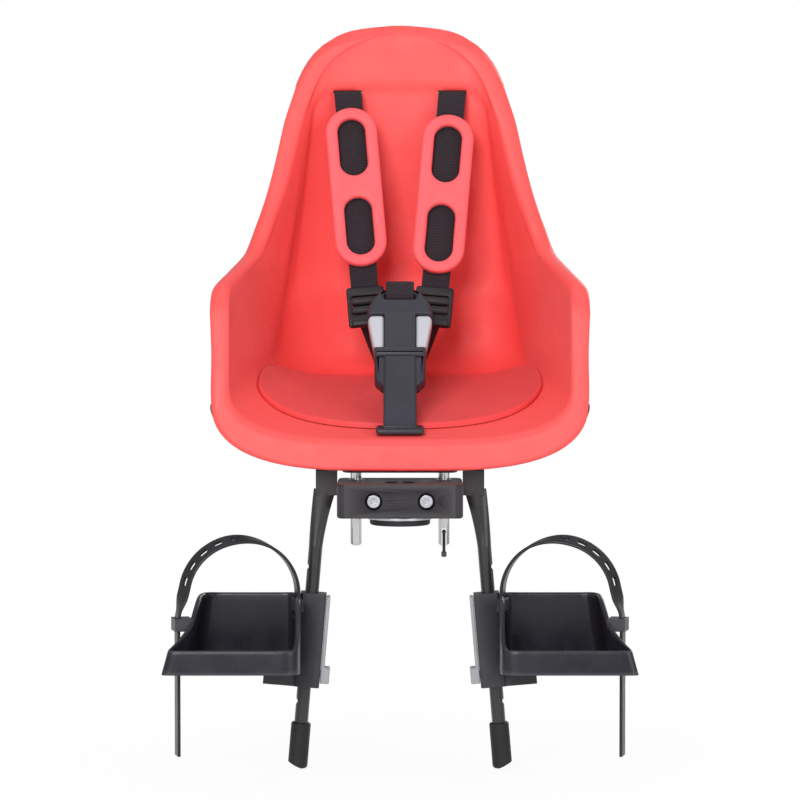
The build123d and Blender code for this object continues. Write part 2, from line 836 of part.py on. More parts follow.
# Foot straps
strap_turn_cos = math.cos(math.radians(foot_strap_turn))
strap_turn_sin = math.sin(math.radians(foot_strap_turn))
arch_centre = (-140.5, 12.0, -84.0)


def strap_place(across, up):
    """A point in the strap's upright plane, from the arch's centre."""
    x, y, z = arch_centre
    return (x + across * strap_turn_cos, y + across * strap_turn_sin, z + up)


def foot_strap_left():
    """A slotted rubber band over the foot, with its tail hanging outside."""
    plane = Plane(
        origin=arch_centre, x_dir=(strap_turn_cos, strap_turn_sin, 0),
        z_dir=(strap_turn_sin, -strap_turn_cos, 0))
    half = foot_strap_thickness / 2
    ring = Circle(foot_arch_radius + half) - Circle(foot_arch_radius - half)
    keep = Pos(0, foot_arch_radius) * Rectangle(foot_arch_radius * 4, foot_arch_radius * 2)
    arch = ring & keep
    tail = Pos(-foot_arch_radius, -foot_tail_length / 2) * Rectangle(foot_strap_thickness, foot_tail_length)
    end_length = catch_length / 2 - catch_wall - soft_gap - catch_z[1]
    end = Pos(foot_arch_radius, -end_length / 2) * Rectangle(foot_strap_thickness, end_length)
    band = extrude(plane * (arch + tail + end), amount=foot_strap_width / 2, both=True)
    for step in range(foot_slot_count):
        turn = 172.0 - math.degrees(foot_slot_step / foot_arch_radius) * step
        window = Box(foot_strap_thickness * 4, foot_slot_length, foot_slot_width)
        band -= plane * Rot(0, 0, turn) * Pos(foot_arch_radius, 0, 0) * window
    return band


# Seat shell
def shell_stations():
    """Sections from the lip to the crown, drawn in at both ends."""
    ends_front = [(front_angle - drop, inset) for drop, inset in ((1.6, 5.5), (1.1, 2.2), (0.0, 0.0))]
    middle = [(angle, 0.0) for angle in range(-8, 126, 6)]
    drawn_in = ((6.0, 0.0), (3.6, 0.0), (1.9, 0.0), (0.9, 0.7), (0.3, 2.3), (0.0, 5.0))
    ends_top = [(top_angle - drop, inset) for drop, inset in drawn_in]
    return ends_front + middle + ends_top


def strap_slot(x, z):
    """The opening that a shoulder strap passes through."""
    half = web_width / 2 + slot_clear
    high = web_thickness / 2 + slot_clear
    y = on_back(z)
    return upright_box(x - half, x + half, y - 30, y + 60, z - high, z + high)


def lower_slot(x):
    """The opening that a lower strap passes through, where back meets pan."""
    half = lower_web_width / 2 + slot_clear
    high = web_thickness / 2 + slot_clear
    y = on_back(lower_slot_z)
    return upright_box(x - half, x + half, y - 45, y + 60, lower_slot_z - high, lower_slot_z + high)


def post_slot():
    """The opening in the pan for the buckle post's strap."""
    half = web_width / 2 + slot_clear
    deep = web_thickness / 2 + slot_clear
    return upright_box(-half, half, post_y - deep, post_y + deep, 0, post_z + 12)


def back_panel():
    """The shallow panel that is sunk into the backrest, widening downwards."""
    points = [
        (-panel_top_half, panel_top_z), (panel_top_half, panel_top_z),
        (panel_bottom_half, panel_bottom_z), (-panel_bottom_half, panel_bottom_z),
    ]
    face = make_face(Polyline(*points, close=True))
    face = fillet(face.vertices().sort_by(Axis.Y)[-2:], panel_corner)
    plane = Plane(origin=(0, back_y - 60.0, 0), x_dir=(1, 0, 0), z_dir=(0, -1, 0))
    return extrude(plane * face, amount=-90.0) & inner_skin(-panel_depth, panel_depth * 2)


def seat_shell():
    """The moulded foam bucket."""
    shell = Solid.make_loft([SeatSection(angle, inset).wire() for angle, inset in shell_stations()])
    shell -= back_panel()
    for x in (-strap_top_x, strap_top_x):
        shell -= strap_slot(x, strap_top_z)
    for x in (-lower_slot_x, lower_slot_x):
        shell -= lower_slot(x)
    return shell - post_slot()


def plain_angles():
    """The sections that aren't drawn in."""
    return [angle for angle, inset in shell_stations() if not inset]


def inner_skin(near, far):
    """A layer on the inside of the bucket, between two insets."""
    sections = [SeatSection(angle) for angle in plain_angles()]
    return Solid.make_loft([s.band(s.inner_face(near), s.inner_face(far)) for s in sections])


def outer_skin(near, far):
    """A layer on the outside of the bucket, between two offsets."""
    sections = [SeatSection(angle) for angle in plain_angles()]
    return Solid.make_loft([s.band(s.outer_face(near), s.outer_face(far)) for s in sections])


def base_region():
    """The part of the bucket that the base shell covers, in side view."""
    end_y = back_y + 80.0
    end_z = base_top_z + 20.0
    points = [
        (base_front_y, -50.0), (base_front_y - 8.0, base_side_z), (waist_y - 10.0, base_side_z + 32.0),
        (back_y - 4.0, base_side_z + 80.0), (back_y, end_z), (end_y, end_z), (end_y, -50.0),
    ]
    side = across_x(points, wing_half + 40.0, 6.0)
    wide = wing_half + 40.0
    right = [
        (wide, -50.0), (wide, base_side_z), (base_hip_half, base_side_z + 62.0), (base_waist_half, waist_z),
        (base_top_half, base_top_z),
    ]
    front = make_face(Polyline(*right, *[(-x, z) for x, z in reversed(right)], close=True))
    front = fillet(front.vertices().sort_by(Axis.Y)[4:], 22.0)
    return side & extrude(Plane.XZ * front, amount=-600.0)


def base_shell():
    """The thin black shell under and behind the foam, with a pad for the plate."""
    skin = outer_skin(base_gap, base_gap + base_wall) & base_region()
    lift = plate_plane.offset(plate_thickness)
    boss = extrude(lift * plate_outline(plate_rear_reach), amount=45.0)
    boss &= outer_skin(base_gap + base_wall / 2, 60.0)
    shell = skin + boss.solids().sort_by(Axis.Z)[0]
    shell -= extrude(plate_plane * plate_outline(plate_rear_reach), amount=plate_thickness)
    for x, y in plate_screw_places:
        hole = plate_plane * Pos(x, y) * Circle(plate_screw_radius + running_fit)
        shell -= extrude(hole, amount=plate_screw_length + 1)
    for x in (-leg_top_x, leg_top_x):
        hole = plate_plane * Pos(x, leg_bolt_y) * Circle(leg_bolt_radius + running_fit)
        shell -= extrude(hole, amount=leg_bolt_rise + 1)
    for x in (-lower_slot_x, lower_slot_x):
        shell -= lower_slot(x)
    return shell - post_slot()


def pad_outline():
    """The seat pad from above: square behind, round in front."""
    rear_half = pad_half * 0.84
    side_y = pad_front_y + (pad_rear_y - pad_front_y) * 0.36
    edge = Line((-rear_half, pad_rear_y), (rear_half, pad_rear_y))
    right = Spline((rear_half, pad_rear_y), (pad_half, side_y), (0, pad_front_y), tangents=[(1, -1), (-1, 0)])
    left = Spline((0, pad_front_y), (-pad_half, side_y), (-rear_half, pad_rear_y), tangents=[(-1, 0), (1, 1)])
    return make_face([edge, right, left])


def seat_pad():
    """The loose foam pad on the seat's floor."""
    column = extrude(pad_outline(), amount=pan_z + pan_slope * (pad_rear_y - pan_y) + pad_side_rise)
    pad = column & inner_skin(base_gap, base_gap + pad_thickness)
    return pad.solids().sort_by(Axis.Z)[0] - post_slot()


# Harness
def strap_frame(side, share, lift=0.0):
    """A frame on a shoulder strap: X across, Y up the strap, Z off its face."""
    top = Vector(side * strap_top_x, on_back(strap_top_z) - 8.0, strap_top_z)
    low = Vector(side * strap_low_x, strap_low_y, strap_low_z)
    up = (top - low).normalized()
    across = (Vector(1, 0, 0) - up * up.X).normalized()
    off = across.cross(up)
    return Plane(origin=top + (low - top) * share + off * lift, x_dir=across, z_dir=off)


def strap_length():
    """The length of a shoulder strap in front of the backrest."""
    top = Vector(strap_top_x, on_back(strap_top_z) - 8.0, strap_top_z)
    return (top - Vector(strap_low_x, strap_low_y, strap_low_z)).length


def shoulder_strap(side):
    """Webbing from its slot down to the adjuster."""
    frame = strap_frame(side, 0.5)
    run = extrude(frame * Rectangle(web_width, strap_length()), amount=web_thickness / 2, both=True)
    half = web_width / 2
    x = side * strap_top_x
    y = on_back(strap_top_z)
    z = strap_top_z
    high = web_thickness / 2
    into = upright_box(x - half, x + half, y - 9.5, y + strap_tail, z - high, z + high)
    return run + into


def strap_anchors():
    """Four flat bars behind the seat that the webbing ends in."""
    bars = []
    for x, z, wide in (
            (-strap_top_x, strap_top_z, web_width), (strap_top_x, strap_top_z, web_width),
            (-lower_slot_x, lower_slot_z, lower_web_width), (lower_slot_x, lower_slot_z, lower_web_width)):
        end = on_back(z) + strap_tail
        half = wide / 2 + (anchor_width - web_width) / 2
        bar = upright_box(
            x - half, x + half, end - anchor_thickness, end,
            z - anchor_height / 2, z + anchor_height / 2)
        bar = chamfer(bar.edges(), 0.8)
        gap = web_thickness / 2 + running_fit
        across = wide / 2 + running_fit
        bars.append(bar - upright_box(x - across, x + across, end - 20, end + 20, z - gap, z + gap))
    return Compound(bars)


def shoulder_pad(side, share):
    """A foam pad with two windows, held to the strap by two keepers."""
    frame = strap_frame(side, share)
    face_gap = web_thickness / 2 + soft_gap
    ends = shoulder_pad_length - shoulder_pad_width
    plate = SlotCenterToCenter(ends, shoulder_pad_width, rotation=90)
    for y in (-shoulder_window_pitch / 2, shoulder_window_pitch / 2):
        ends = shoulder_window_length - shoulder_window_width
        plate -= Pos(0, y) * SlotCenterToCenter(ends, shoulder_window_width, rotation=90)
    pad = extrude(frame * Pos(0, 0, face_gap) * plate, amount=shoulder_pad_thickness)
    front = pad.faces().sort_by(Axis((0, 0, 0), frame.z_dir))[-1]
    pad = chamfer(front.edges(), 1.6)
    half = web_width / 2 + soft_gap
    for y in (-shoulder_pad_length * 0.36, 0.0, shoulder_pad_length * 0.36):
        for post in (-half - keeper_wall, half):
            box = Box(keeper_wall, keeper_length, face_gap * 2 + keeper_wall)
            pad += frame * Pos(post + keeper_wall / 2, y, -keeper_wall / 2) * box
        bar = Box(2 * half + 2 * keeper_wall, keeper_length, keeper_wall)
        pad += frame * Pos(0, y, -face_gap - keeper_wall / 2) * bar
    return pad


def adjuster_frame(side):
    """The frame of a strap adjuster, just below the shoulder strap."""
    frame = strap_frame(side, 1.0)
    drop = adjuster_length / 2 + soft_gap
    return Plane(origin=frame.origin - frame.y_dir * drop, x_dir=frame.x_dir, z_dir=frame.z_dir)


def adjuster(side):
    """A ladder-lock slide: a frame with three bars."""
    frame = adjuster_frame(side)
    outline = RectangleRounded(adjuster_width, adjuster_length, 4.0)
    opening = (adjuster_length - 3 * adjuster_bar) / 2
    for y in (-(opening + adjuster_bar) / 2, (opening + adjuster_bar) / 2):
        outline -= Pos(0, y) * RectangleRounded(web_width + 1.0, opening, 1.5)
    body = extrude(frame * outline, amount=adjuster_thickness / 2, both=True)
    lip_place = Pos(0, -adjuster_length / 2 + 2.0, adjuster_thickness / 2)
    lip = frame * lip_place * Box(adjuster_width - 8, 3.0, 3.0)
    return body + lip


def lower_strap(side):
    """Webbing from the adjuster back to where the backrest meets the pan."""
    frame = adjuster_frame(side)
    start = frame.origin - frame.y_dir * (adjuster_length / 2 + adjuster_thickness / 2)
    end = Vector(side * lower_slot_x, on_back(lower_slot_z) - 14.0, lower_slot_z)
    up = (start - end).normalized()
    across = (Vector(1, 0, 0) - up * up.X).normalized()
    plane = Plane(origin=(start + end) / 2, x_dir=across, z_dir=across.cross(up))
    flat = plane * Rectangle(lower_web_width, (start - end).length)
    run = extrude(flat, amount=web_thickness / 2, both=True)
    half = lower_web_width / 2
    high = web_thickness / 2
    y = on_back(lower_slot_z)
    x = side * lower_slot_x
    into = upright_box(
        x - half, x + half, y - 16.0, y + strap_tail, lower_slot_z - high, lower_slot_z + high)
    return run + into


# Buckle and post
post_plane = Plane(
    origin=(0, post_y, post_z), x_dir=(1, 0, 0),
    z_dir=(0, -math.cos(math.radians(post_lean)), math.sin(math.radians(post_lean))))
collar_start = post_length
buckle_start = collar_start + collar_length + buckle_gap


def buckle_post():
    """The dark grey post: foot on the pan, stalk and collar."""
    stalk_length = collar_start + 4.0
    stalk = post_plane * Pos(0, stalk_length / 2, 0) * Box(post_width, stalk_length, post_thickness)
    stalk = chamfer(stalk.edges().filter_by(Axis(post_plane.origin, post_plane.y_dir)), 2.0)
    collar = post_plane * Pos(0, collar_start + collar_length / 2, 0) * Box(
        collar_width, collar_length, collar_thickness)
    collar = fillet(collar.edges().filter_by(Axis(post_plane.origin, post_plane.y_dir)), 5.0)
    base = on_pan(post_y, 3 * wall_gap)
    foot_plane = Plane(origin=base, x_dir=(1, 0, 0), z_dir=plate_plane.z_dir)
    foot_outline = RectangleRounded(post_foot_width, post_foot_depth, 5.0)
    foot = extrude(foot_plane * foot_outline, amount=post_foot_height)
    foot = chamfer(foot.faces().sort_by(Axis.Z)[-1].edges(), 2.0)
    below = extrude(foot_plane * Rectangle(200, 200), amount=-60)
    strap_half = web_width / 2
    low = plate_under + pan_slope * (post_y - pin_y) + plate_thickness * 1.8
    thin = web_thickness / 2
    strap = upright_box(-strap_half, strap_half, post_y - thin, post_y + thin, low, base.Z + 2)
    return (stalk + collar - below) + foot + strap


def buckle_outline(inset=0.0):
    """The buckle's outline in its own plane."""
    low = buckle_low_width / 2 - inset
    high = buckle_high_width / 2 - inset
    start = buckle_start + inset
    end = buckle_start + buckle_length - inset
    with_shoulder = buckle_start + buckle_length * 0.58
    points = [
        (-low, start), (low, start), (high, with_shoulder),
        (high * 0.52, end), (-high * 0.52, end), (-high, with_shoulder),
    ]
    face = make_face(Polyline(*points, close=True))
    rounded = fillet(face.vertices().sort_by(Axis.Y)[2:], 14.0 - inset)
    return rounded


def buckle_pocket(side, inward, around):
    """The space of one release button, open at the buckle's side."""
    place = buckle_start + button_place
    inner = buckle_high_width / 2 - button_depth - inward
    outer = buckle_high_width / 2 + 10.0
    depth = buckle_thickness + 10.0
    half = button_length / 2 + around
    block = upright_box(inner, outer, place - half, place + half, -depth / 2, depth / 2)
    return post_plane * (block if side > 0 else mirror(block, about=Plane.YZ))


def buckle_body():
    """The buckle's housing, with a pocket each side and a loop bar on top."""
    shape = extrude(post_plane * buckle_outline(), amount=buckle_thickness / 2, both=True)
    faces = shape.faces().sort_by(Axis(post_plane.origin, post_plane.z_dir))
    shape = chamfer([*faces[0].edges(), *faces[-1].edges()], 2.0)
    for side in (-1, 1):
        shape -= buckle_pocket(side, button_travel + wall_gap, wall_gap)
    place = buckle_start + buckle_length - 12.0
    slot = Box(web_width + 2.0, 5.0, buckle_thickness * 2)
    return shape - post_plane * Pos(0, place, 0) * slot


def buckle_button(side):
    """A light grey side button that is pressed to open the buckle."""
    shape = extrude(post_plane * buckle_outline(-button_proud), amount=buckle_thickness / 2 - 0.6, both=True)
    faces = shape.faces().sort_by(Axis(post_plane.origin, post_plane.z_dir))
    shape = chamfer([*faces[0].edges(), *faces[-1].edges()], 2.0)
    block = buckle_pocket(side, 0.0, 0.0)
    return shape & block


def buckle_loop():
    """The webbing loop through the buckle's top slot."""
    place = buckle_start + buckle_length - 12.0
    half = buckle_thickness / 2 + soft_gap
    top = 12.0 + soft_gap + web_thickness
    points = [
        (-1.0, -half - web_thickness), (top, -half - web_thickness), (top, half + web_thickness),
        (-1.0, half + web_thickness), (-1.0, half), (top - web_thickness, half),
        (top - web_thickness, -half), (-1.0, -half),
    ]
    bar = post_plane.origin + post_plane.y_dir * place
    plane = Plane(origin=bar, x_dir=post_plane.y_dir, z_dir=(1, 0, 0))
    face = make_face(Polyline(*points, close=True))
    return extrude(plane * face, amount=web_width / 2, both=True)


def named_parts():
    """Every piece by its name."""
    leg_pair = both_sides(leg_left())
    cap_pair = both_sides(cap_left())
    footrest_pair = both_sides(footrest_left())
    lock_pair = both_sides(footrest_lock_left())
    strap_pair = both_sides(foot_strap_left())
    parts = {
        "clamp_front": clamp_front(),
        "clamp_rear": clamp_rear(),
        "clamp_bolts": clamp_bolts(),
        "clamp_nuts": clamp_nuts(),
        "stem_bush": stem_bush(),
        "bush_washer": bush_washer(),
        "pin_bushes": pin_bushes(),
        "carrier_plate": carrier_plate(),
        "plate_screws": plate_screws(),
        "leg_bolts": leg_bolts(),
        "pin_left": seat_pin(pin_xs[0]),
        "pin_right": pin_right(),
        "latch_pivot": latch_pivot(),
        "pin_latch": pin_latch(),
        "seat_shell": seat_shell(),
        "base_shell": base_shell(),
        "seat_pad": seat_pad(),
        "strap_anchors": strap_anchors(),
        "buckle_post": buckle_post(),
        "buckle_body": buckle_body(),
        "buckle_loop": buckle_loop(),
    }
    pad_places = {"left": pad_left_place, "right": pad_right_place}
    for index, (name, side) in enumerate((("left", -1), ("right", 1))):
        parts[f"leg_{name}"] = leg_pair[index]
        parts[f"leg_cap_{name}"] = cap_pair[index]
        parts[f"footrest_{name}"] = footrest_pair[index]
        parts[f"footrest_lock_{name}"] = lock_pair[index]
        parts[f"foot_strap_{name}"] = strap_pair[index]
        parts[f"shoulder_strap_{name}"] = shoulder_strap(side)
        parts[f"shoulder_pad_{name}"] = shoulder_pad(side, pad_places[name])
        parts[f"adjuster_{name}"] = adjuster(side)
        parts[f"lower_strap_{name}"] = lower_strap(side)
        parts[f"buckle_button_{name}"] = buckle_button(side)
    return parts


os.makedirs("parts", exist_ok=True)
for part_name, shape in named_parts().items():
    export_step(shape, f"parts/{part_name}.step")
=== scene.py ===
"""Looks of a front child seat for a bicycle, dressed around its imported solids."""

import logging
import math
from dataclasses import dataclass, field
from enum import Enum
from typing import Sequence

import bmesh
import bpy
import numpy as np
from mathutils import Matrix, Vector


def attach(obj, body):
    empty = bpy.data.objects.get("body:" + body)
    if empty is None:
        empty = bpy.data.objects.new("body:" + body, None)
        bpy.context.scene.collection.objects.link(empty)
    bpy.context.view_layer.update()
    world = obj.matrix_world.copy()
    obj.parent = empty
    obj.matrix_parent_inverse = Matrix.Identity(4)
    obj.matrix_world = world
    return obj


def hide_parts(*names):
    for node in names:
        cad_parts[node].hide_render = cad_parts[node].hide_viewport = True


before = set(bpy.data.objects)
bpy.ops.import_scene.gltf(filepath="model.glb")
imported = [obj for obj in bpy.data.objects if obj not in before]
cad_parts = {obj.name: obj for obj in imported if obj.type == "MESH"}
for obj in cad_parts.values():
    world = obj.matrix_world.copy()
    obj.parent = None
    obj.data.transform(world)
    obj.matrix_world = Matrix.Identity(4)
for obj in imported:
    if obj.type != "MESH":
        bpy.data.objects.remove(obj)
LOG = logging.getLogger("front_seat")
MM = 0.001
ACROSS = Vector((1, 0, 0))
BLACK = (0, 0, 0)
WHITE = (255, 255, 255)
Colour = tuple[float, float, float]
Point = tuple[float, float]
Place = tuple[float, float, float]
Face = tuple[int, ...]
Wall = tuple[np.ndarray, np.ndarray]
Piece = bpy.types.Object
Material = bpy.types.Material
Socket = bpy.types.NodeSocket


class Side(Enum):
    """The two sides of the seat, as seen from the front."""

    LEFT = -1
    RIGHT = 1

    @property
    def word(self) -> str:
        """The side's name in piece names."""
        return self.name.lower()


def linear(colour: Sequence[float]) -> tuple[float, float, float, float]:
    """Turns a screen colour from 0 to 255 into the shader's own scale, with full alpha."""
    shares = [c / 255.0 for c in colour]
    lit = [s / 12.92 if s <= 0.04045 else ((s + 0.055) / 1.055) ** 2.4 for s in shares]
    return (lit[0], lit[1], lit[2], 1.0)


class Tree:
    """A shader's node tree, filled node by node."""

    def __init__(self, owner: Material | bpy.types.World) -> None:
        """Empties the tree of a material or a world."""
        owner.use_nodes = True
        self.tree = owner.node_tree
        self.tree.nodes.clear()

    def feed(self, node: bpy.types.Node, key: int | str, value: object) -> None:
        """Gives one input of a node its value, or links it to another node's output."""
        if isinstance(value, Socket):
            self.tree.links.new(value, node.inputs[key])
        else:
            node.inputs[key].default_value = value

    def node(self, kind: str, inputs: dict | None = None, **settings: object) -> bpy.types.Node:
        """Adds a node.

        Args:
            kind: the node's type, without the words that all types begin with.
            inputs: values or outputs for its inputs, by name or number.
            settings: its own properties, set first.

        Returns:
            The new node.
        """
        node = self.tree.nodes.new("ShaderNode" + kind)
        for key, value in settings.items():
            setattr(node, key, value)
        for key, value in (inputs or {}).items():
            self.feed(node, key, value)
        return node

    def add(self, kind: str, inputs: dict | None = None, output: int | str = 0, **settings: object) -> Socket:
        """Adds a node and gives one of its outputs."""
        return self.node(kind, inputs, **settings).outputs[output]

    def math(self, operation: str, first: object, second: object = 0.0) -> Socket:
        """One sum of two values."""
        return self.add("Math", {0: first, 1: second}, operation=operation)

    def spread(self, value: Socket, low: float, high: float, start: float = 0.0, end: float = 1.0) -> Socket:
        """Stretches a part of a value's range over another range, and holds it there."""
        return self.add("MapRange", {0: value, 1: low, 2: high, 3: start, 4: end}, clamp=True)


class Painter(Tree):
    """One material's node tree, with a Principled shader at its end."""

    def __init__(self, name: str) -> None:
        """Starts an empty material of that name."""
        self.material = bpy.data.materials.new(name)
        super().__init__(self.material)
        self.shader = self.node("BsdfPrincipled")
        self.node("OutputMaterial", {"Surface": self.shader.outputs[0]})

    def noise(self, scale: float, detail: float, stretch: Sequence[float] = (1, 1, 1)) -> Socket:
        """Cloudy noise from 0 to 1, by features per metre, finer layers and scale along each axis."""
        place = self.add("TexCoord", output="Object")
        spot = self.add("Mapping", {"Vector": place, "Scale": tuple(stretch)})
        return self.add("TexNoise", {"Vector": spot, "Scale": scale, "Detail": detail})

    def weighted(self, first: Socket, share: float, second: Socket) -> Socket:
        """Two values added up, the first by a share and the second by the rest."""
        rest = self.math("MULTIPLY", second, 1.0 - share)
        return self.math("ADD", self.math("MULTIPLY", first, share), rest)

    def ripple(self, value: Socket, turn: float) -> Socket:
        """Humps from 0 to 1 along a value."""
        wave = self.math("SINE", self.math("MULTIPLY", value, turn))
        return self.math("ABSOLUTE", wave)

    def blend(self, share: Socket, first: object, second: object) -> Socket:
        """Mixes two colours by a share from 0 to 1."""
        return self.add("Mix", {0: share, 6: first, 7: second}, 2, data_type="RGBA")

    def relief(self, height: Socket, depth: float, edge: float = 0.0) -> Socket:
        """A bumped normal, on edges that are rounded by a small radius."""
        inputs: dict = {"Height": height, "Distance": depth, "Strength": 1.0}
        if edge:
            inputs["Normal"] = self.add("Bevel", {"Radius": edge}, samples=4)
        return self.add("Bump", inputs)

    def connect(self, name: str, value: object) -> None:
        """Feeds one of the shader's inputs."""
        self.feed(self.shader, name, value)


@dataclass(frozen=True)
class Finish:
    """A moulded or coated surface: colour that drifts a little, fine grain and soft edges."""

    name: str
    colour: Colour
    roughness: float = 0.5
    drift: float = 0.06
    grain: float = 1400.0
    grain_depth: float = 0.00004
    edge: float = 0.0
    metallic: float = 0.0
    coat: float = 0.0
    sheen: float = 0.0
    specular: float = 0.5
    # Share of painted highlight on sharp convex edges, which are paled toward white.
    painted_edge_highlight: float = 0.0
    stretch: Colour = (1.0, 1.0, 1.0)
    # Colour of the painted shade in hollows, which ambient occlusion finds.
    painted_hollow_shade: Colour | None = None

    def build(self) -> Material:
        """Makes the material."""
        paint = Painter(self.name)
        self.tint(paint)
        self.texture(paint)
        levels = {
            "Metallic": self.metallic, "Specular IOR Level": self.specular, "Coat Weight": self.coat,
            "Coat Roughness": 0.25, "Sheen Weight": self.sheen, "Sheen Roughness": 0.45}
        for name, level in levels.items():
            paint.connect(name, level)
        return paint.material

    def toward(self, other: Colour, share: float) -> tuple[float, ...]:
        """The colour part of the way to another one, for the shader."""
        return linear([a + (b - a) * share for a, b in zip(self.colour, other)])

    def tint(self, paint: Painter) -> None:
        """Colours the surface, with a slow drift, fine specks, painted edge highlights and painted shade in
        the hollows.
        """
        cloud = paint.spread(paint.noise(38.0, 4.0), 0.3, 0.7)
        fleck = paint.spread(paint.noise(self.grain * 0.6, 2.0, self.stretch), 0.35, 0.65)
        share = paint.weighted(cloud, 0.6, fleck)
        colour = paint.blend(share, self.toward(BLACK, self.drift), self.toward(WHITE, self.drift))
        # Painted highlight: sharp convex edges, found by pointiness, are paled toward white.
        if self.painted_edge_highlight:
            point = paint.add("NewGeometry", output="Pointiness")
            highlit_edge = paint.spread(point, 0.52, 0.62, 0.0, self.painted_edge_highlight)
            colour = paint.blend(highlit_edge, colour, self.toward(WHITE, 0.45))
        # Painted shade: where ambient occlusion finds a hollow, the colour deepens toward this shade.
        if self.painted_hollow_shade:
            shade = paint.add("AmbientOcclusion", {"Distance": 0.16}, "AO", samples=8)
            colour = paint.blend(paint.spread(shade, 0.15, 0.72), linear(self.painted_hollow_shade), colour)
        paint.connect("Base Color", colour)

    def texture(self, paint: Painter) -> None:
        """Gives the surface its grain and an uneven gloss."""
        height = paint.noise(self.grain, 2.0, self.stretch)
        uneven = 0.06
        low, high = self.roughness - uneven, self.roughness + uneven
        paint.connect("Roughness", paint.spread(paint.noise(60.0, 3.0), 0.3, 0.7, low, high))
        paint.connect("Normal", paint.relief(height, self.grain_depth, self.edge))


@dataclass(frozen=True)
class Webbing(Finish):
    """Woven tape: a twill of fine ribs."""

    rib: float = 0.0026

    def weave(self, paint: Painter) -> Socket:
        """The height of the weave, from 0 to 1, in the strap's own flat coordinates."""
        flat = paint.node("SeparateXYZ", {"Vector": paint.add("UVMap")}).outputs
        turn = 2.0 * math.pi / self.rib
        slant = paint.ripple(paint.math("ADD", flat[0], flat[1]), turn)
        return paint.weighted(slant, 0.65, paint.ripple(flat[1], turn / 2))

    def tint(self, paint: Painter) -> None:
        """Darkens the gaps between the ribs."""
        fuzz = paint.spread(paint.noise(900.0, 2.0), 0.3, 0.7)
        share = paint.weighted(self.weave(paint), 0.75, fuzz)
        paint.connect("Base Color", paint.blend(share, self.toward(BLACK, 0.55), self.toward(WHITE, 0.14)))

    def texture(self, paint: Painter) -> None:
        """Raises the ribs."""
        paint.connect("Roughness", self.roughness)
        paint.connect("Normal", paint.relief(self.weave(paint), self.grain_depth))


class Finishes:
    """The seat's finishes, each made once."""

    def __init__(self) -> None:
        """Makes every material."""
        # The foam gets painted shade in its hollows: a deeper red where ambient occlusion finds them.
        self.foam = Finish(
            "coral_foam", (239, 79, 77), 0.52, 0.012, 1900.0, 0.00003, sheen=0.08, specular=0.35,
            painted_hollow_shade=(228, 44, 43)).build()
        self.pad_foam = Finish(
            "coral_pad_foam", (217, 63, 64), 0.6, 0.018, 2300.0, 0.00006, sheen=0.1, specular=0.3).build()
        self.shoulder_foam = Finish(
            "coral_shoulder_foam", (240, 86, 91), 0.55, 0.015, 2100.0, sheen=0.1, specular=0.35).build()
        # The black, dark grey, tray and sleeve mouldings get painted highlights on their sharp edges.
        self.black = Finish(
            "black_moulding", (25, 20, 25), 0.44, 0.05, 1500.0, edge=0.0009, painted_edge_highlight=0.25, specular=0.2).build()
        self.deep_black = Finish(
            "black_base_moulding", (24, 22, 26), 0.55, 0.05, 1300.0, edge=0.0008, specular=0.3).build()
        self.grey = Finish(
            "dark_grey_moulding", (42, 40, 50), 0.42, 0.035, 1700.0, 0.00003, 0.0012, painted_edge_highlight=0.2,
            specular=0.36).build()
        self.tray = Finish(
            "dark_grey_tray", (30, 28, 36), 0.3, 0.04, 1500.0, 0.00003, 0.0014, painted_edge_highlight=0.25,
            specular=0.32).build()
        self.sleeve = Finish(
            "dark_grey_sleeve", (25, 22, 29), 0.42, 0.04, 1500.0, 0.00003, 0.0014, painted_edge_highlight=0.2,
            specular=0.2).build()
        self.pale = Finish(
            "light_grey_moulding", (178, 179, 186), 0.42, 0.02, 1800.0, 0.00002, 0.0007).build()
        self.lock_grey = Finish(
            "lock_grey_moulding", (158, 157, 163), 0.45, 0.03, 1800.0, edge=0.0007).build()
        self.steel = Finish(
            "dark_powder_coat", (44, 40, 43), 0.3, 0.05, 2600.0, 0.00003, 0.0006, metallic=0.35,
            coat=0.35).build()
        self.zinc = Finish(
            "zinc_plate", (196, 198, 204), 0.33, 0.04, 1600.0, edge=0.0005, metallic=1.0).build()
        self.chrome = Finish(
            "polished_chrome", (205, 203, 203), 0.16, 0.02, 900.0, 0.00001, 0.0004, metallic=1.0,
            stretch=(1.0, 1.0, 0.05)).build()
        self.rubber = Finish(
            "black_rubber", (22, 19, 22), 0.5, 0.06, 1200.0, 0.00005, 0.0008, specular=0.32).build()
        self.strap_rubber = Finish(
            "foot_strap_rubber", (25, 23, 28), 0.36, 0.05, 1400.0, 0.00003, 0.0006, specular=0.36).build()
        self.webbing = Webbing(
            "harness_webbing", (30, 20, 27), 0.75, grain_depth=0.0005, sheen=0.04, specular=0.12).build()


def linked(name: str, data: object) -> Piece:
    """Puts new data into the scene as an object of that name."""
    piece = bpy.data.objects.new(name, data)
    bpy.context.scene.collection.objects.link(piece)
    return piece


def clear_selection() -> None:
    """Leaves edit mode and selects nothing."""
    if bpy.context.mode != "OBJECT":
        bpy.ops.object.mode_set(mode="OBJECT")
    bpy.ops.object.select_all(action="DESELECT")


def make_active(piece: Piece) -> None:
    """Selects one piece alone and makes it active."""
    clear_selection()
    piece.select_set(True)
    bpy.context.view_layer.objects.active = piece


def close(shape: bmesh.types.BMesh, mesh: bpy.types.Mesh) -> None:
    """Turns a shape's faces outwards and writes it into a mesh."""
    bmesh.ops.recalc_face_normals(shape, faces=shape.faces)
    shape.to_mesh(mesh)
    shape.free()


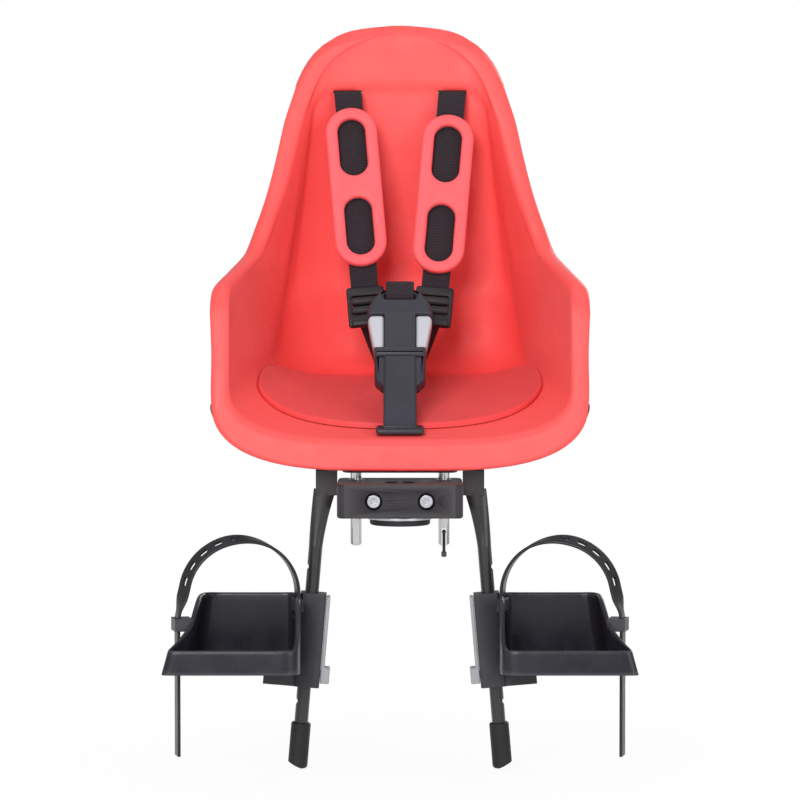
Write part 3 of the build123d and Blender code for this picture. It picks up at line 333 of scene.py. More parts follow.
def from_faces(name: str, points: Sequence[Sequence[float]], faces: Sequence[Face]) -> Piece:
    """Makes a closed piece from points in millimetres and the point numbers of each face."""
    shape = bmesh.new()
    corners = [shape.verts.new(Vector(p) * MM) for p in points]
    for face in faces:
        shape.faces.new([corners[i] for i in face])
    mesh = bpy.data.meshes.new(name)
    close(shape, mesh)
    return linked(name, mesh)


def ring_faces(rows: int, size: int, closed: bool = False) -> list[Face]:
    """Faces between closed rings of points that follow one another.

    Args:
        rows: how many rings there are.
        size: points on each ring.
        closed: whether the last ring is joined to the first.

    Returns:
        The point numbers of each face.
    """
    faces = []
    for row in range(rows if closed else rows - 1):
        here, ahead = row * size, (row + 1) % rows * size
        for k in range(size):
            after = (k + 1) % size
            faces.append((here + k, here + after, ahead + after, ahead + k))
    return faces


def join(pieces: Sequence[Piece]) -> Piece:
    """Joins pieces into the first of them."""
    make_active(pieces[0])
    for piece in pieces[1:]:
        piece.select_set(True)
    bpy.ops.object.join()
    return pieces[0]


def modified(piece: Piece, kind: str, **settings: object) -> Piece:
    """Gives a piece a modifier and applies it."""
    modifier = piece.modifiers.new(kind.lower(), kind)
    for key, value in settings.items():
        setattr(modifier, key, value)
    make_active(piece)
    bpy.ops.object.modifier_apply(modifier=modifier.name)
    return piece


def cut(piece: Piece, tools: Sequence[Piece]) -> None:
    """Cuts other shapes out of a piece and removes them."""
    for tool in tools:
        modified(piece, "BOOLEAN", operation="DIFFERENCE", solver="EXACT", object=tool)
        bpy.data.objects.remove(tool)


def soften(piece: Piece, width: float, segments: int = 3) -> Piece:
    """Rounds a piece's sharp edges by a radius in millimetres."""
    return modified(
        piece, "BEVEL", width=width * MM, segments=segments, limit_method="ANGLE",
        angle_limit=math.radians(30.0))


def block(low: Sequence[float], high: Sequence[float], turn: Matrix | None = None) -> Piece:
    """A box between two corners in millimetres, in a frame of its own."""
    clear_selection()
    middle = [(a + b) / 2 for a, b in zip(low, high)]
    bpy.ops.mesh.primitive_cube_add(size=1.0)
    piece = bpy.context.object
    size = Matrix.Diagonal([(b - a) * MM for a, b in zip(low, high)]).to_4x4()
    placed = Matrix.Translation(Vector(middle) * MM) @ size
    piece.data.transform((turn or Matrix.Identity(4)) @ placed)
    return piece


def corner_arc(before: Vector, here: Vector, after: Vector, reach: float, steps: int) -> list[Vector]:
    """Points round a corner, from a reach before it to the same reach after it."""
    start = here + (before - here).normalized() * reach
    end = here + (after - here).normalized() * reach
    shares = [k / steps for k in range(steps + 1)]
    return [start.lerp(here, t).lerp(here.lerp(end, t), t) for t in shares]


def rounded(corners: Sequence[Place], steps: int = 7) -> list[Point]:
    """Rounds the corners of a flat outline.

    Args:
        corners: across, up and corner radius of each corner, in order.
        steps: points on each corner.

    Returns:
        The outline's points.
    """
    points: list[Point] = []
    places = [Vector(corner[:2]) for corner in corners]
    for index, here in enumerate(places):
        before, after = places[index - 1], places[(index + 1) % len(places)]
        radius = corners[index][2]
        reach = radius / math.tan((before - here).angle(after - here) / 2) if radius else 0.0
        reach = min(reach, (before - here).length * 0.48, (after - here).length * 0.48)
        points += [tuple(place) for place in corner_arc(before, here, after, reach, steps)]
    return points


def rectangle(half: float, low: float, high: float, radius: float, steps: int) -> list[Point]:
    """A rounded rectangle's outline, by half its width and its lower and upper edge."""
    corners = ((-half, low), (half, low), (half, high), (-half, high))
    return rounded([(x, y, radius) for x, y in corners], steps)


def stadium(width: float, length: float, middle: float, steps: int) -> list[Point]:
    """A slot outline with round ends, along its second axis."""
    radius = width / 2
    reach = length / 2 - radius
    points = []
    for end, start in ((1, 0.0), (-1, math.pi)):
        for step in range(steps + 1):
            turn = start + math.pi * step / steps
            points.append((radius * math.cos(turn), middle + end * reach + radius * math.sin(turn)))
    return points


def plate(name: str, outlines: Sequence[Sequence[Point]], thickness: float, round_edge: float, place: Matrix,
          steps: int) -> Piece:
    """A flat shape with holes and rounded edges.

    Args:
        name: the piece's name.
        outlines: the outer outline and then its holes, in millimetres.
        thickness: from face to face.
        round_edge: radius of the edges.
        place: the frame it lies in, its third axis off the face.
        steps: steps across the rounding.

    Returns:
        The new object.
    """
    drawing = bpy.data.curves.new(name, "CURVE")
    drawing.dimensions = "2D"
    drawing.fill_mode = "BOTH"
    drawing.extrude = (thickness / 2 - round_edge) * MM
    drawing.bevel_depth = round_edge * MM
    drawing.bevel_resolution = steps
    drawing.offset = -round_edge * MM
    for outline in outlines:
        line = drawing.splines.new("POLY")
        line.points.add(len(outline) - 1)
        for point, (x, y) in zip(line.points, outline):
            point.co = (x * MM, y * MM, 0.0, 1.0)
        line.use_cyclic_u = True
    sketch = linked(name + "_sketch", drawing)
    bpy.context.view_layer.update()
    mesh = bpy.data.meshes.new_from_object(sketch.evaluated_get(bpy.context.evaluated_depsgraph_get()))
    bpy.data.objects.remove(sketch)
    shape = bmesh.new()
    shape.from_mesh(mesh)
    bmesh.ops.remove_doubles(shape, verts=shape.verts, dist=1e-6)
    close(shape, mesh)
    mesh.transform(place)
    mesh.name = name
    return linked(name, mesh)


def facing(origin: Sequence[float], across: Vector, off: Vector) -> Matrix:
    """A frame from a point in millimetres, an axis across and an axis off its face."""
    off = off.normalized()
    across = (across - off * across.dot(off)).normalized()
    turn = Matrix((across, off.cross(across), off)).transposed().to_4x4()
    return Matrix.Translation(Vector(origin) * MM) @ turn


def dress(piece: Piece, body: str, finish: Material, nodes: Sequence[str] = (),
          angle: float = 35.0) -> None:
    """Shades a new piece, gives it its finish and fixes it to a body.

    Args:
        piece: the finished object.
        body: the body it moves with.
        finish: its material.
        nodes: the solids it stands for.
        angle: edges sharper than this stay sharp, in degrees.
    """
    make_active(piece)
    bpy.ops.object.shade_smooth_by_angle(angle=math.radians(angle))
    piece.data.materials.clear()
    piece.data.materials.append(finish)
    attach(piece, body)
    if nodes:
        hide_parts(*nodes)
    LOG.info("%s: %d faces", piece.name, len(piece.data.polygons))


def ease(share: float) -> float:
    """A share held from 0 to 1 and eased at both ends."""
    held = min(max(share, 0.0), 1.0)
    return held * held * (3.0 - 2.0 * held)


def least(first: float, second: float, power: float) -> float:
    """The smaller of two reaches, with the corner between them rounded."""
    return (first ** -power + second ** -power) ** (-1.0 / power)


def through(place: float, stops: Sequence[Point]) -> float:
    """A smooth curve through stops, without overshoot."""
    spans = [(b[1] - a[1]) / (b[0] - a[0]) for a, b in zip(stops, stops[1:])]
    slopes = [spans[0]]
    for low, high in zip(spans, spans[1:]):
        slopes.append(2.0 * low * high / (low + high) if low * high > 0 else 0.0)
    slopes.append(spans[-1])
    held = min(max(place, stops[0][0]), stops[-1][0])
    index = max(i for i, stop in enumerate(stops[:-1]) if held >= stop[0])
    (start, low), (end, high) = stops[index], stops[index + 1]
    wide = end - start
    t = (held - start) / wide
    rise = low * (1 + 2 * t) * (1 - t) ** 2 + high * t * t * (3 - 2 * t)
    return rise + wide * t * (1 - t) * (slopes[index] * (1 - t) - slopes[index + 1] * t)


@dataclass
class BucketForm:
    """The bucket's sections, which fan about a line across the seat. Sizes in millimetres and degrees.

    Pan, back, wing and waist are lines in side view: a place, its height, and a slope or a lean.
    The depths of the bowl are given at angles from the lip to the crown.
    """

    fan_y: float = 72.0
    fan_z: float = 240.0
    wall: float = 17.0
    lip_extra: float = 12.0
    lip_fade: float = 30.0
    front_angle: float = -13.4
    bend_angle: float = 46.0
    top_angle: float = 134.6
    pan: Place = (45.0, 54.0, 0.21)
    pan_blend: float = 10.0
    back: Place = (240.0, 240.0, 0.03)
    wing: Place = (60.0, 172.0, 0.30)
    wing_corner: float = 24.0
    wing_start: float = 3.0
    wing_blend: float = 12.0
    waist: Place = (185.0, 210.0, 0.33)
    rim_step: float = 7.0
    step_fade: float = 0.85
    step_angle: float = 85.0
    step_run: float = 40.0
    rim_blend: float = 40.0
    wing_half: float = 166.0
    waist_half: float = 139.5
    head_half: float = 96.5
    head_z: float = 370.0
    crown_taper: float = 0.38
    crown_drop: float = 70.0
    crown_rise: float = 48.5
    crown_power: float = 2.6
    crown_share: float = 0.85
    crown_start: float = 16.0
    crown_run: float = 10.0
    bowl_power: float = 3.3
    bowl_round: float = 2.5
    bowl_steps: int = 7
    most_depth: float = 0.85
    inner_depths: tuple[Point, ...] = ((-13.4, 47.0), (46.0, 41.0), (80.0, 18.0), (140.0, 8.0))
    outer_depths: tuple[Point, ...] = ((-13.4, 66.0), (46.0, 58.0), (80.0, 39.0), (116.0, 18.0), (134.6, 4.0))
    panel_angles: Point = (90.0, 128.0)
    panel_top_half: float = 79.0
    panel_bottom_half: float = 101.0
    panel_top_z: float = 362.0
    panel_bottom_z: float = 176.0
    panel_corner: float = 26.0
    panel_depth: float = 2.6
    panel_edge: float = 3.2
    panel_fade: Point = (8.0, 26.0)

    def to_floor(self, angle: float, y: float, z: float, slope: float) -> float:
        """How far from the fan line a section meets a floor through (y, z)."""
        turn = math.radians(angle)
        closing = math.cos(turn) + slope * math.sin(turn)
        return (self.fan_z - z - slope * (self.fan_y - y)) / max(closing, 1e-3)

    def to_upright(self, angle: float, y: float, z: float, lean: float) -> float:
        """How far from the fan line a section meets an upright through (y, z)."""
        turn = math.radians(angle)
        closing = math.sin(turn) + lean * math.cos(turn)
        return (y - self.fan_y + lean * (self.fan_z - z)) / max(closing, 1e-3)

    def inner(self, angle: float) -> float:
        """The seat's inside at mid-width."""
        return least(self.to_floor(angle, *self.pan), self.to_upright(angle, *self.back), self.pan_blend)

    def rim_line(self, angle: float) -> float:
        """The rim in side view."""
        edge = least(self.to_floor(angle, *self.wing), self.to_upright(angle, *self.waist), self.wing_blend)
        step = self.rim_step * (1.0 - self.step_fade * ease((angle - self.step_angle) / self.step_run))
        return least(edge, self.inner(angle) - step, self.rim_blend)

    def wing_round(self, angle: float) -> float:
        """How much the rim drops where the wing rounds off at the front."""
        travel = self.rim_line(self.front_angle) * math.radians(angle - self.front_angle) + self.wing_start
        if travel >= self.wing_corner:
            return 0.0
        left = self.wing_corner - max(travel, 0.0)
        return self.wing_corner - math.sqrt(self.wing_corner ** 2 - left ** 2)

    def rim_half(self, z: float) -> float:
        """Half the seat's width at the rim, by height."""
        waist_z = self.waist[1]
        middle = (self.wing_half + self.waist_half) / 2 + 1.5
        half = through(z, (
            (0.0, self.wing_half + 0.1), (waist_z - 38.0, self.wing_half), (waist_z - 20.0, middle),
            (waist_z, self.waist_half), (self.head_z, self.head_half),
            (self.head_z + self.crown_rise, self.head_half - self.crown_taper * self.crown_rise)))
        rise = min(max((z - self.head_z) / self.crown_rise, 0.0), 0.995)
        return half - self.crown_drop * (1.0 - (1.0 - rise ** self.crown_power) ** (1.0 / self.crown_power))

    def point(self, x: float, reach: float, angle: float) -> Place:
        """A point at a reach from the fan line."""
        turn = math.radians(angle)
        return (x, self.fan_y + reach * math.sin(turn), self.fan_z - reach * math.cos(turn))

    def section(self, angle: float, inset: float = 0.0) -> tuple[list[Point], list[Point]]:
        """Control points of the inner and the outer face at an angle, drawn in by an inset."""
        rim, inner = self.rim_line(angle), self.inner(angle)
        crown = self.crown_share * ease((angle - self.top_angle + self.crown_start) / self.crown_run)
        height = self.point(0.0, rim + crown * (inner + self.wall - rim), angle)[2]
        half_out = self.rim_half(height) - inset
        half_in = half_out - self.wall + 2.0 * inset
        low, high = self.panel_angles
        floor_half = through(angle, (
            (self.front_angle, self.wing_half - self.wall - 1.0), (self.bend_angle, self.wing_half * 0.69),
            (low, self.panel_bottom_half - 6.0), (high, self.panel_top_half),
            (self.top_angle, self.panel_top_half - 4.0)))
        half = min(floor_half + inset, half_in - 1.0)
        lip = self.lip_extra * max(0.0, 1.0 - (angle - self.front_angle) / self.lip_fade) ** 2
        outer = inner + self.wall + lip - inset
        rim = rim + self.wing_round(angle) + inset
        half_back = min(half + self.wall, half_out)
        inside = self.bowl(angle, self.inner_depths, inner + inset, half, half_in, rim)
        outside = self.bowl(angle, self.outer_depths, outer, half_back, half_out, rim)
        return inside, outside

    def bowl(self, angle: float, depths: Sequence[Point], deep: float, half: float, rim_x: float,
             rim: float) -> list[Point]:
        """Across and reach of the control points of one face.

        Args:
            angle: the section's angle.
            depths: how far the bowl's side curves up, by angle.
            deep: the reach at mid-width.
            half: half the bowl's width.
            rim_x: half the width at the rim.
            rim: the reach at the rim.

        Returns:
            The points from rim to rim.
        """
        depth = min(through(angle, depths), (deep - rim) * self.most_depth)
        turns = [math.pi / 2 * step / self.bowl_steps for step in range(self.bowl_steps + 1)]
        curve = [
            (half * math.sin(t) ** (2.0 / self.bowl_power),
             deep - depth + depth * max(math.cos(t), 0.0) ** (2.0 / self.bowl_round)) for t in turns]
        foot_x, foot = curve[-1]
        wall = [(foot_x + (rim_x - foot_x) * k / 3, foot + (rim - foot) * k / 3) for k in (1, 2, 3)]
        side = curve + wall
        return [(-x, reach) for x, reach in reversed(side[1:])] + side

    def panel_sink(self, x: float, z: float) -> float:
        """How deep the backrest's panel is sunk at a place."""
        fall = (self.panel_bottom_half - self.panel_top_half) / (self.panel_top_z - self.panel_bottom_z)
        top = self.panel_top_z - z
        side = self.panel_top_half + fall * top - abs(x)
        inside = min(side, top)
        if side < self.panel_corner and top < self.panel_corner:
            inside = self.panel_corner - math.hypot(self.panel_corner - side, self.panel_corner - top)
        below, run = self.panel_fade
        fade = ease((z - self.panel_bottom_z + below) / run)
        return self.panel_depth * fade * ease(inside / self.panel_edge)


class SmoothCurve:
    """A cubic curve through control points, spaced alike in every section."""

    model_angle = 27.0

    def __init__(self, form: BucketForm) -> None:
        """Takes the spacing from one section of the bucket."""
        angle = self.model_angle
        points = [Vector(form.point(x, reach, angle)) for x, reach in form.section(angle)[0]]
        steps = [(b - a).length for a, b in zip(points, points[1:])]
        shares = np.concatenate(([0.0], np.cumsum(steps)))
        self.shares = shares / shares[-1]

    def read(self, points: Sequence[Point], places: np.ndarray) -> np.ndarray:
        """Reads the curve at places from 0 to 1.

        Args:
            points: control points, as many as the spacing has.
            places: where to read.

        Returns:
            One row of two numbers for each place.
        """
        knots = self.shares
        values = np.array(points, float)
        count = len(knots)
        gaps = np.diff(knots)
        bends = np.zeros(values.shape)
        bends[1:-1] = 6.0 * np.diff(np.diff(values, axis=0) / gaps[:, None], axis=0)
        system = np.eye(count)
        for i in range(1, count - 1):
            system[i, i - 1: i + 2] = (gaps[i - 1], 2.0 * (gaps[i - 1] + gaps[i]), gaps[i])
        second = np.linalg.solve(system, bends)
        index = np.clip(np.searchsorted(knots, places, side="right") - 1, 0, count - 2)
        gap = gaps[index][:, None]
        before = (places - knots[index])[:, None]
        after = (knots[index + 1] - places)[:, None]
        bend_low, bend_high = second[index], second[index + 1]
        curve = (bend_low * after ** 3 + bend_high * before ** 3) / (6.0 * gap)
        low = (values[index] / gap - bend_low * gap / 6.0) * after
        high = (values[index + 1] / gap - bend_high * gap / 6.0) * before
        return curve + low + high


@dataclass
class Seat:
    """The foam bucket and its loose pad. Sizes in millimetres and degrees.

    Each strap slot has a middle, half a width, a front, a rear and a height.
    """

    form: BucketForm = field(default_factory=BucketForm)
    columns: int = 121
    rows: int = 120
    rim_steps: int = 10
    rim_crest: float = 0.42
    crest_fade: float = 0.36
    head_angle: float = 84.0
    head_run: float = 34.0
    panel_angle: float = 60.0
    end_round: float = 5.8
    end_reach: float = 205.0
    crown_round: float = 8.2
    crown_reach: float = 250.0
    end_steps: int = 8
    flow_passes: int = 40
    base_room: float = 1.2
    base_fade: float = 0.12
    strap_slots: tuple[tuple[float, ...], ...] = (
        (48.0, 13.2, 200.0, 300.0, 356.0), (14.0, 8.6, 200.0, 247.0, 104.0), (22.0, 8.6, 243.0, 300.0, 104.0))
    slot_half: float = 1.6
    post_slot: tuple[Place, Place] = ((-12.9, 39.7, 0.0), (12.9, 42.3, 75.0))
    pad_thickness: float = 6.0
    pad_gap: float = 0.9
    pad_front: float = 56.5
    pad_rear: float = 214.0
    pad_half: float = 126.0
    pad_widest: float = 0.36
    pad_taper: float = 0.16
    pad_heel: float = 0.86
    pad_heel_square: float = 0.0197
    pad_edge: float = 2.4
    pad_profile: Place = (0.08, 0.72, 0.2)
    pad_dome: float = 40.0
    pad_least: float = 2.0
    pad_rows: int = 64
    pad_columns: int = 61

    def stations(self) -> list[Point]:
        """Angles and insets from the lip to the crown, rounded at both ends."""
        start = self.form.front_angle
        stop = self.form.top_angle - math.degrees(self.crown_round / self.crown_reach)
        turns = [math.pi / 2 * k / self.end_steps for k in range(self.end_steps)]
        ends = []
        for size, reach in ((self.end_round, self.end_reach), (self.crown_round, self.crown_reach)):
            ends.append([(math.degrees(size * math.cos(t) / reach), size * (1 - math.sin(t))) for t in turns])
        front = [(start - run, inset) for run, inset in ends[0]]
        body = [(start + (stop - start) * k / self.rows, 0.0) for k in range(self.rows + 1)]
        crown = [(stop + run, inset) for run, inset in reversed(ends[1])]
        return front + body + crown

    def ring(self, curve: SmoothCurve, angle: float, inset: float) -> list[Place]:
        """One closed section of the wall."""
        form = self.form
        even = np.linspace(0.0, 1.0, self.columns)
        places = (1.0 - np.cos(math.pi * even)) * 0.25 + even * 0.5
        inside, outside = form.section(angle, inset)
        inner = curve.read(inside, places)
        outer = self.drawn_in(curve.read(outside, places))
        head = ease((angle - self.head_angle) / self.head_run)
        crest = self.rim_crest - self.crest_fade * head
        right = self.rim(inner[-1], outer[-1], crest)
        left = self.rim(outer[0], inner[0], crest)
        flat = self.flow(np.concatenate((inner, right, outer[::-1], left)), head)
        ring = []
        for index, (x, reach) in enumerate(flat):
            if index < self.columns and angle > self.panel_angle:
                reach += form.panel_sink(x, form.point(x, reach, angle)[2])
            ring.append(form.point(x, reach, angle))
        return ring

    def drawn_in(self, outer: np.ndarray) -> np.ndarray:
        """Draws the outer face in a little between the rims, to leave room for the base."""
        run = np.gradient(outer, axis=0)
        inward = np.stack((run[:, 1], -run[:, 0]), axis=1)
        inward /= np.linalg.norm(inward, axis=1)[:, None]
        steps = np.arange(len(outer))
        share = np.clip(np.minimum(steps, steps[::-1]) / (self.base_fade * len(outer)), 0.0, 1.0)
        return outer + inward * (self.base_room * share)[:, None]

    def flow(self, flat: np.ndarray, share: float) -> np.ndarray:
        """Lets the inner face flow into the rim: averages each point with its neighbours, over and over."""
        for _ in range(self.flow_passes):
            near = (np.roll(flat, 1, axis=0) + np.roll(flat, -1, axis=0)) / 2
            flat = flat + 0.5 * share * (near - flat)
        return flat

    def rim(self, start: np.ndarray, end: np.ndarray, share: float) -> np.ndarray:
        """Points on the rounded rim between two faces, as high as a share of its width."""
        middle = (start + end) / 2
        half = (end - start) / 2
        crest = abs(end[0] - start[0]) * share
        points = []
        for step in range(1, self.rim_steps):
            turn = math.pi * step / self.rim_steps
            place = middle - half * math.cos(turn)
            points.append((place[0], place[1] - crest * math.sin(turn)))
        return np.array(points)

    def shell(self, finish: Material) -> None:
        """Moulds the bucket from its sections and cuts the strap openings."""
        curve = SmoothCurve(self.form)
        rings = [self.ring(curve, angle, inset) for angle, inset in self.stations()]
        piece = self.mould("bucket_shell", rings, self.columns)
        cut(piece, self.openings())
        dress(piece, "seat", finish, ["seat_shell"], 50.0)

    @staticmethod
    def mould(name: str, rings: Sequence[Sequence[Place]], columns: int) -> Piece:
        """Makes a closed piece from rings that hold two faces with a rim at each side.

        Args:
            name: the piece's name.
            rings: one face's points, a rim, the other face backwards and the other rim.
            columns: points on each face.

        Returns:
            The new object.
        """
        size = len(rings[0])
        rim = size // 2 - columns
        last = 2 * columns + rim - 1
        ends = [(k, k + 1, last - k - 1, last - k) for k in range(columns - 1)]
        if rim:
            ends += [tuple(range(columns - 1, columns + rim + 1)), (*range(last, size), 0)]
        faces = ring_faces(len(rings), size)
        for base in (0, (len(rings) - 1) * size):
            faces += [tuple(base + k for k in face) for face in ends]
        return from_faces(name, [p for ring in rings for p in ring], faces)

    def openings(self) -> list[Piece]:
        """Boxes that cut the slots for the webbing and the buckle's post."""
        tools = []
        for side in Side:
            for x, half, front, rear, z in self.strap_slots:
                middle = side.value * x
                low = (middle - half, front, z - self.slot_half)
                tools.append(block(low, (middle + half, rear, z + self.slot_half)))
        return tools + [block(*self.post_slot)]

    def pad_width(self, y: float) -> float:
        """Half the pad's width along the seat: blunt behind, round in front."""
        share = (y - self.pad_front) / (self.pad_rear - self.pad_front)
        wide = self.pad_widest
        if share < wide:
            return self.pad_half * math.sqrt(max(1.0 - (1.0 - share / wide) ** 2.0, 0.0)) ** 1.05
        back = (share - wide) / (1.0 - wide)
        heel = max(back - self.pad_heel, 0.0) ** 2 / self.pad_heel_square
        return self.pad_half * (1.0 - self.pad_taper * back ** 2.0) * math.sqrt(max(1.0 - heel, 0.0))

    def pad(self, finish: Material) -> None:
        """The pad: a shallow cushion that follows the bucket's floor."""
        form = self.form
        curve = SmoothCurve(form)
        rows, columns = self.pad_rows, self.pad_columns
        base, side, middle = self.pad_profile
        pan_y, pan_z, slope = form.pan
        rings = []
        for row in range(rows):
            top, under = [], []
            share = 0.5 - 0.5 * math.cos(math.pi * (row + 0.02) / (rows - 1 + 0.04))
            y = self.pad_front + (self.pad_rear - self.pad_front) * share
            z = pan_z + slope * (y - pan_y)
            angle = math.degrees(math.atan2(y - form.fan_y, form.fan_z - z))
            floor = curve.read(form.section(angle)[0], np.linspace(0.0, 1.0, 241))
            half = max(self.pad_width(y), self.pad_least)
            ends = min(y - self.pad_front, self.pad_rear - y)
            for column in range(columns):
                x = half * math.sin(math.pi / 2 * (2.0 * column / (columns - 1) - 1.0))
                reach = float(np.interp(x, floor[:, 0], floor[:, 1])) - self.pad_gap
                edge = min(half - abs(x), ends + 0.6)
                round_off = math.sqrt(1.0 - (1.0 - min(max(edge / self.pad_edge, 0.0), 1.0)) ** 2)
                crown = self.pad_thickness * (base + side * round_off + middle * ease(edge / self.pad_dome))
                top.append(form.point(x, reach - crown, angle))
                under.append(form.point(x, reach, angle))
            rings.append(top + under[::-1])
        piece = self.mould("seat_cushion", rings, columns)
        dress(piece, "seat", finish, ["seat_pad"], 60.0)


@dataclass
class Ribbon:
    """A flat strap that follows a line, with rounded selvedges and its own flat coordinates."""

    name: str
    width: float
    thickness: float = 1.7

    def section(self) -> list[Point]:
        """The strap's cross-section: across and off its face."""
        half, thick = self.width / 2, self.thickness / 2
        side = [(half, 0.0), (half - 0.25, thick * 0.6), (half - 0.8, thick * 0.95)]
        upper = side + [(half * k / 4, thick) for k in range(3, -4, -1)]
        top = upper + [(-x, y) for x, y in reversed(side)]
        return top + [(x, -y) for x, y in reversed(top[1:-1])]

    def build(self, line: Sequence[Vector], acrosses: Sequence[Vector] | None = None) -> Piece:
        """Sweeps the strap along a line.

        Args:
            line: points of the strap's middle, in millimetres.
            acrosses: the direction across the strap at each point, else across the seat.

        Returns:
            The new object.
        """
        section = self.section()
        size = len(section)
        points, spots = [], []
        travel = 0.0
        for index, here in enumerate(line):
            wide = acrosses[index] if acrosses else ACROSS
            ahead = (line[min(index + 1, len(line) - 1)] - line[max(index - 1, 0)]).normalized()
            across = (wide - ahead * wide.dot(ahead)).normalized()
            off = ahead.cross(across)
            if index:
                travel += (here - line[index - 1]).length
            for x, y in section:
                points.append(here + across * x + off * y)
                spots.append((x * MM, travel * MM))
        faces = ring_faces(len(line), size)
        last = (len(line) - 1) * size
        faces += [tuple(range(size))[::-1], tuple(range(last, last + size))]
        piece = from_faces(self.name, points, faces)
        layer = piece.data.uv_layers.new(name="flat")
        for loop in piece.data.loops:
            layer.data[loop.index].uv = spots[loop.vertex_index]
        return piece

    def lay(self, line: Sequence[Vector], finish: Material, node: str) -> None:
        """Makes a strap of the harness."""
        dress(self.build(line), "seat", finish, [node], 50.0)


def bent_line(corners: Sequence[Sequence[float]], radius: float, step: float = 3.0) -> list[Vector]:
    """A line through corners with each bend rounded.

    Args:
        corners: points in millimetres.
        radius: how far from a corner the bend begins.
        step: spacing of the points on the straight runs.

    Returns:
        The line's points.
    """
    places = [Vector(c) for c in corners]
    knots = [places[0]]
    for before, here, after in zip(places, places[1:], places[2:]):
        reach = min(radius, (before - here).length * 0.45, (after - here).length * 0.45)
        knots += corner_arc(before, here, after, reach, 8)
    knots.append(places[-1])
    line = [knots[0]]
    for a, b in zip(knots, knots[1:]):
        count = max(1, round((b - a).length / step))
        line += [a.lerp(b, k / count) for k in range(1, count + 1)]
    return line


def laid(place: Matrix, route: Sequence[Point]) -> list[Vector]:
    """Points along and off a frame, in millimetres."""
    return [place @ (Vector((0.0, along, off)) * MM) / MM for along, off in route]


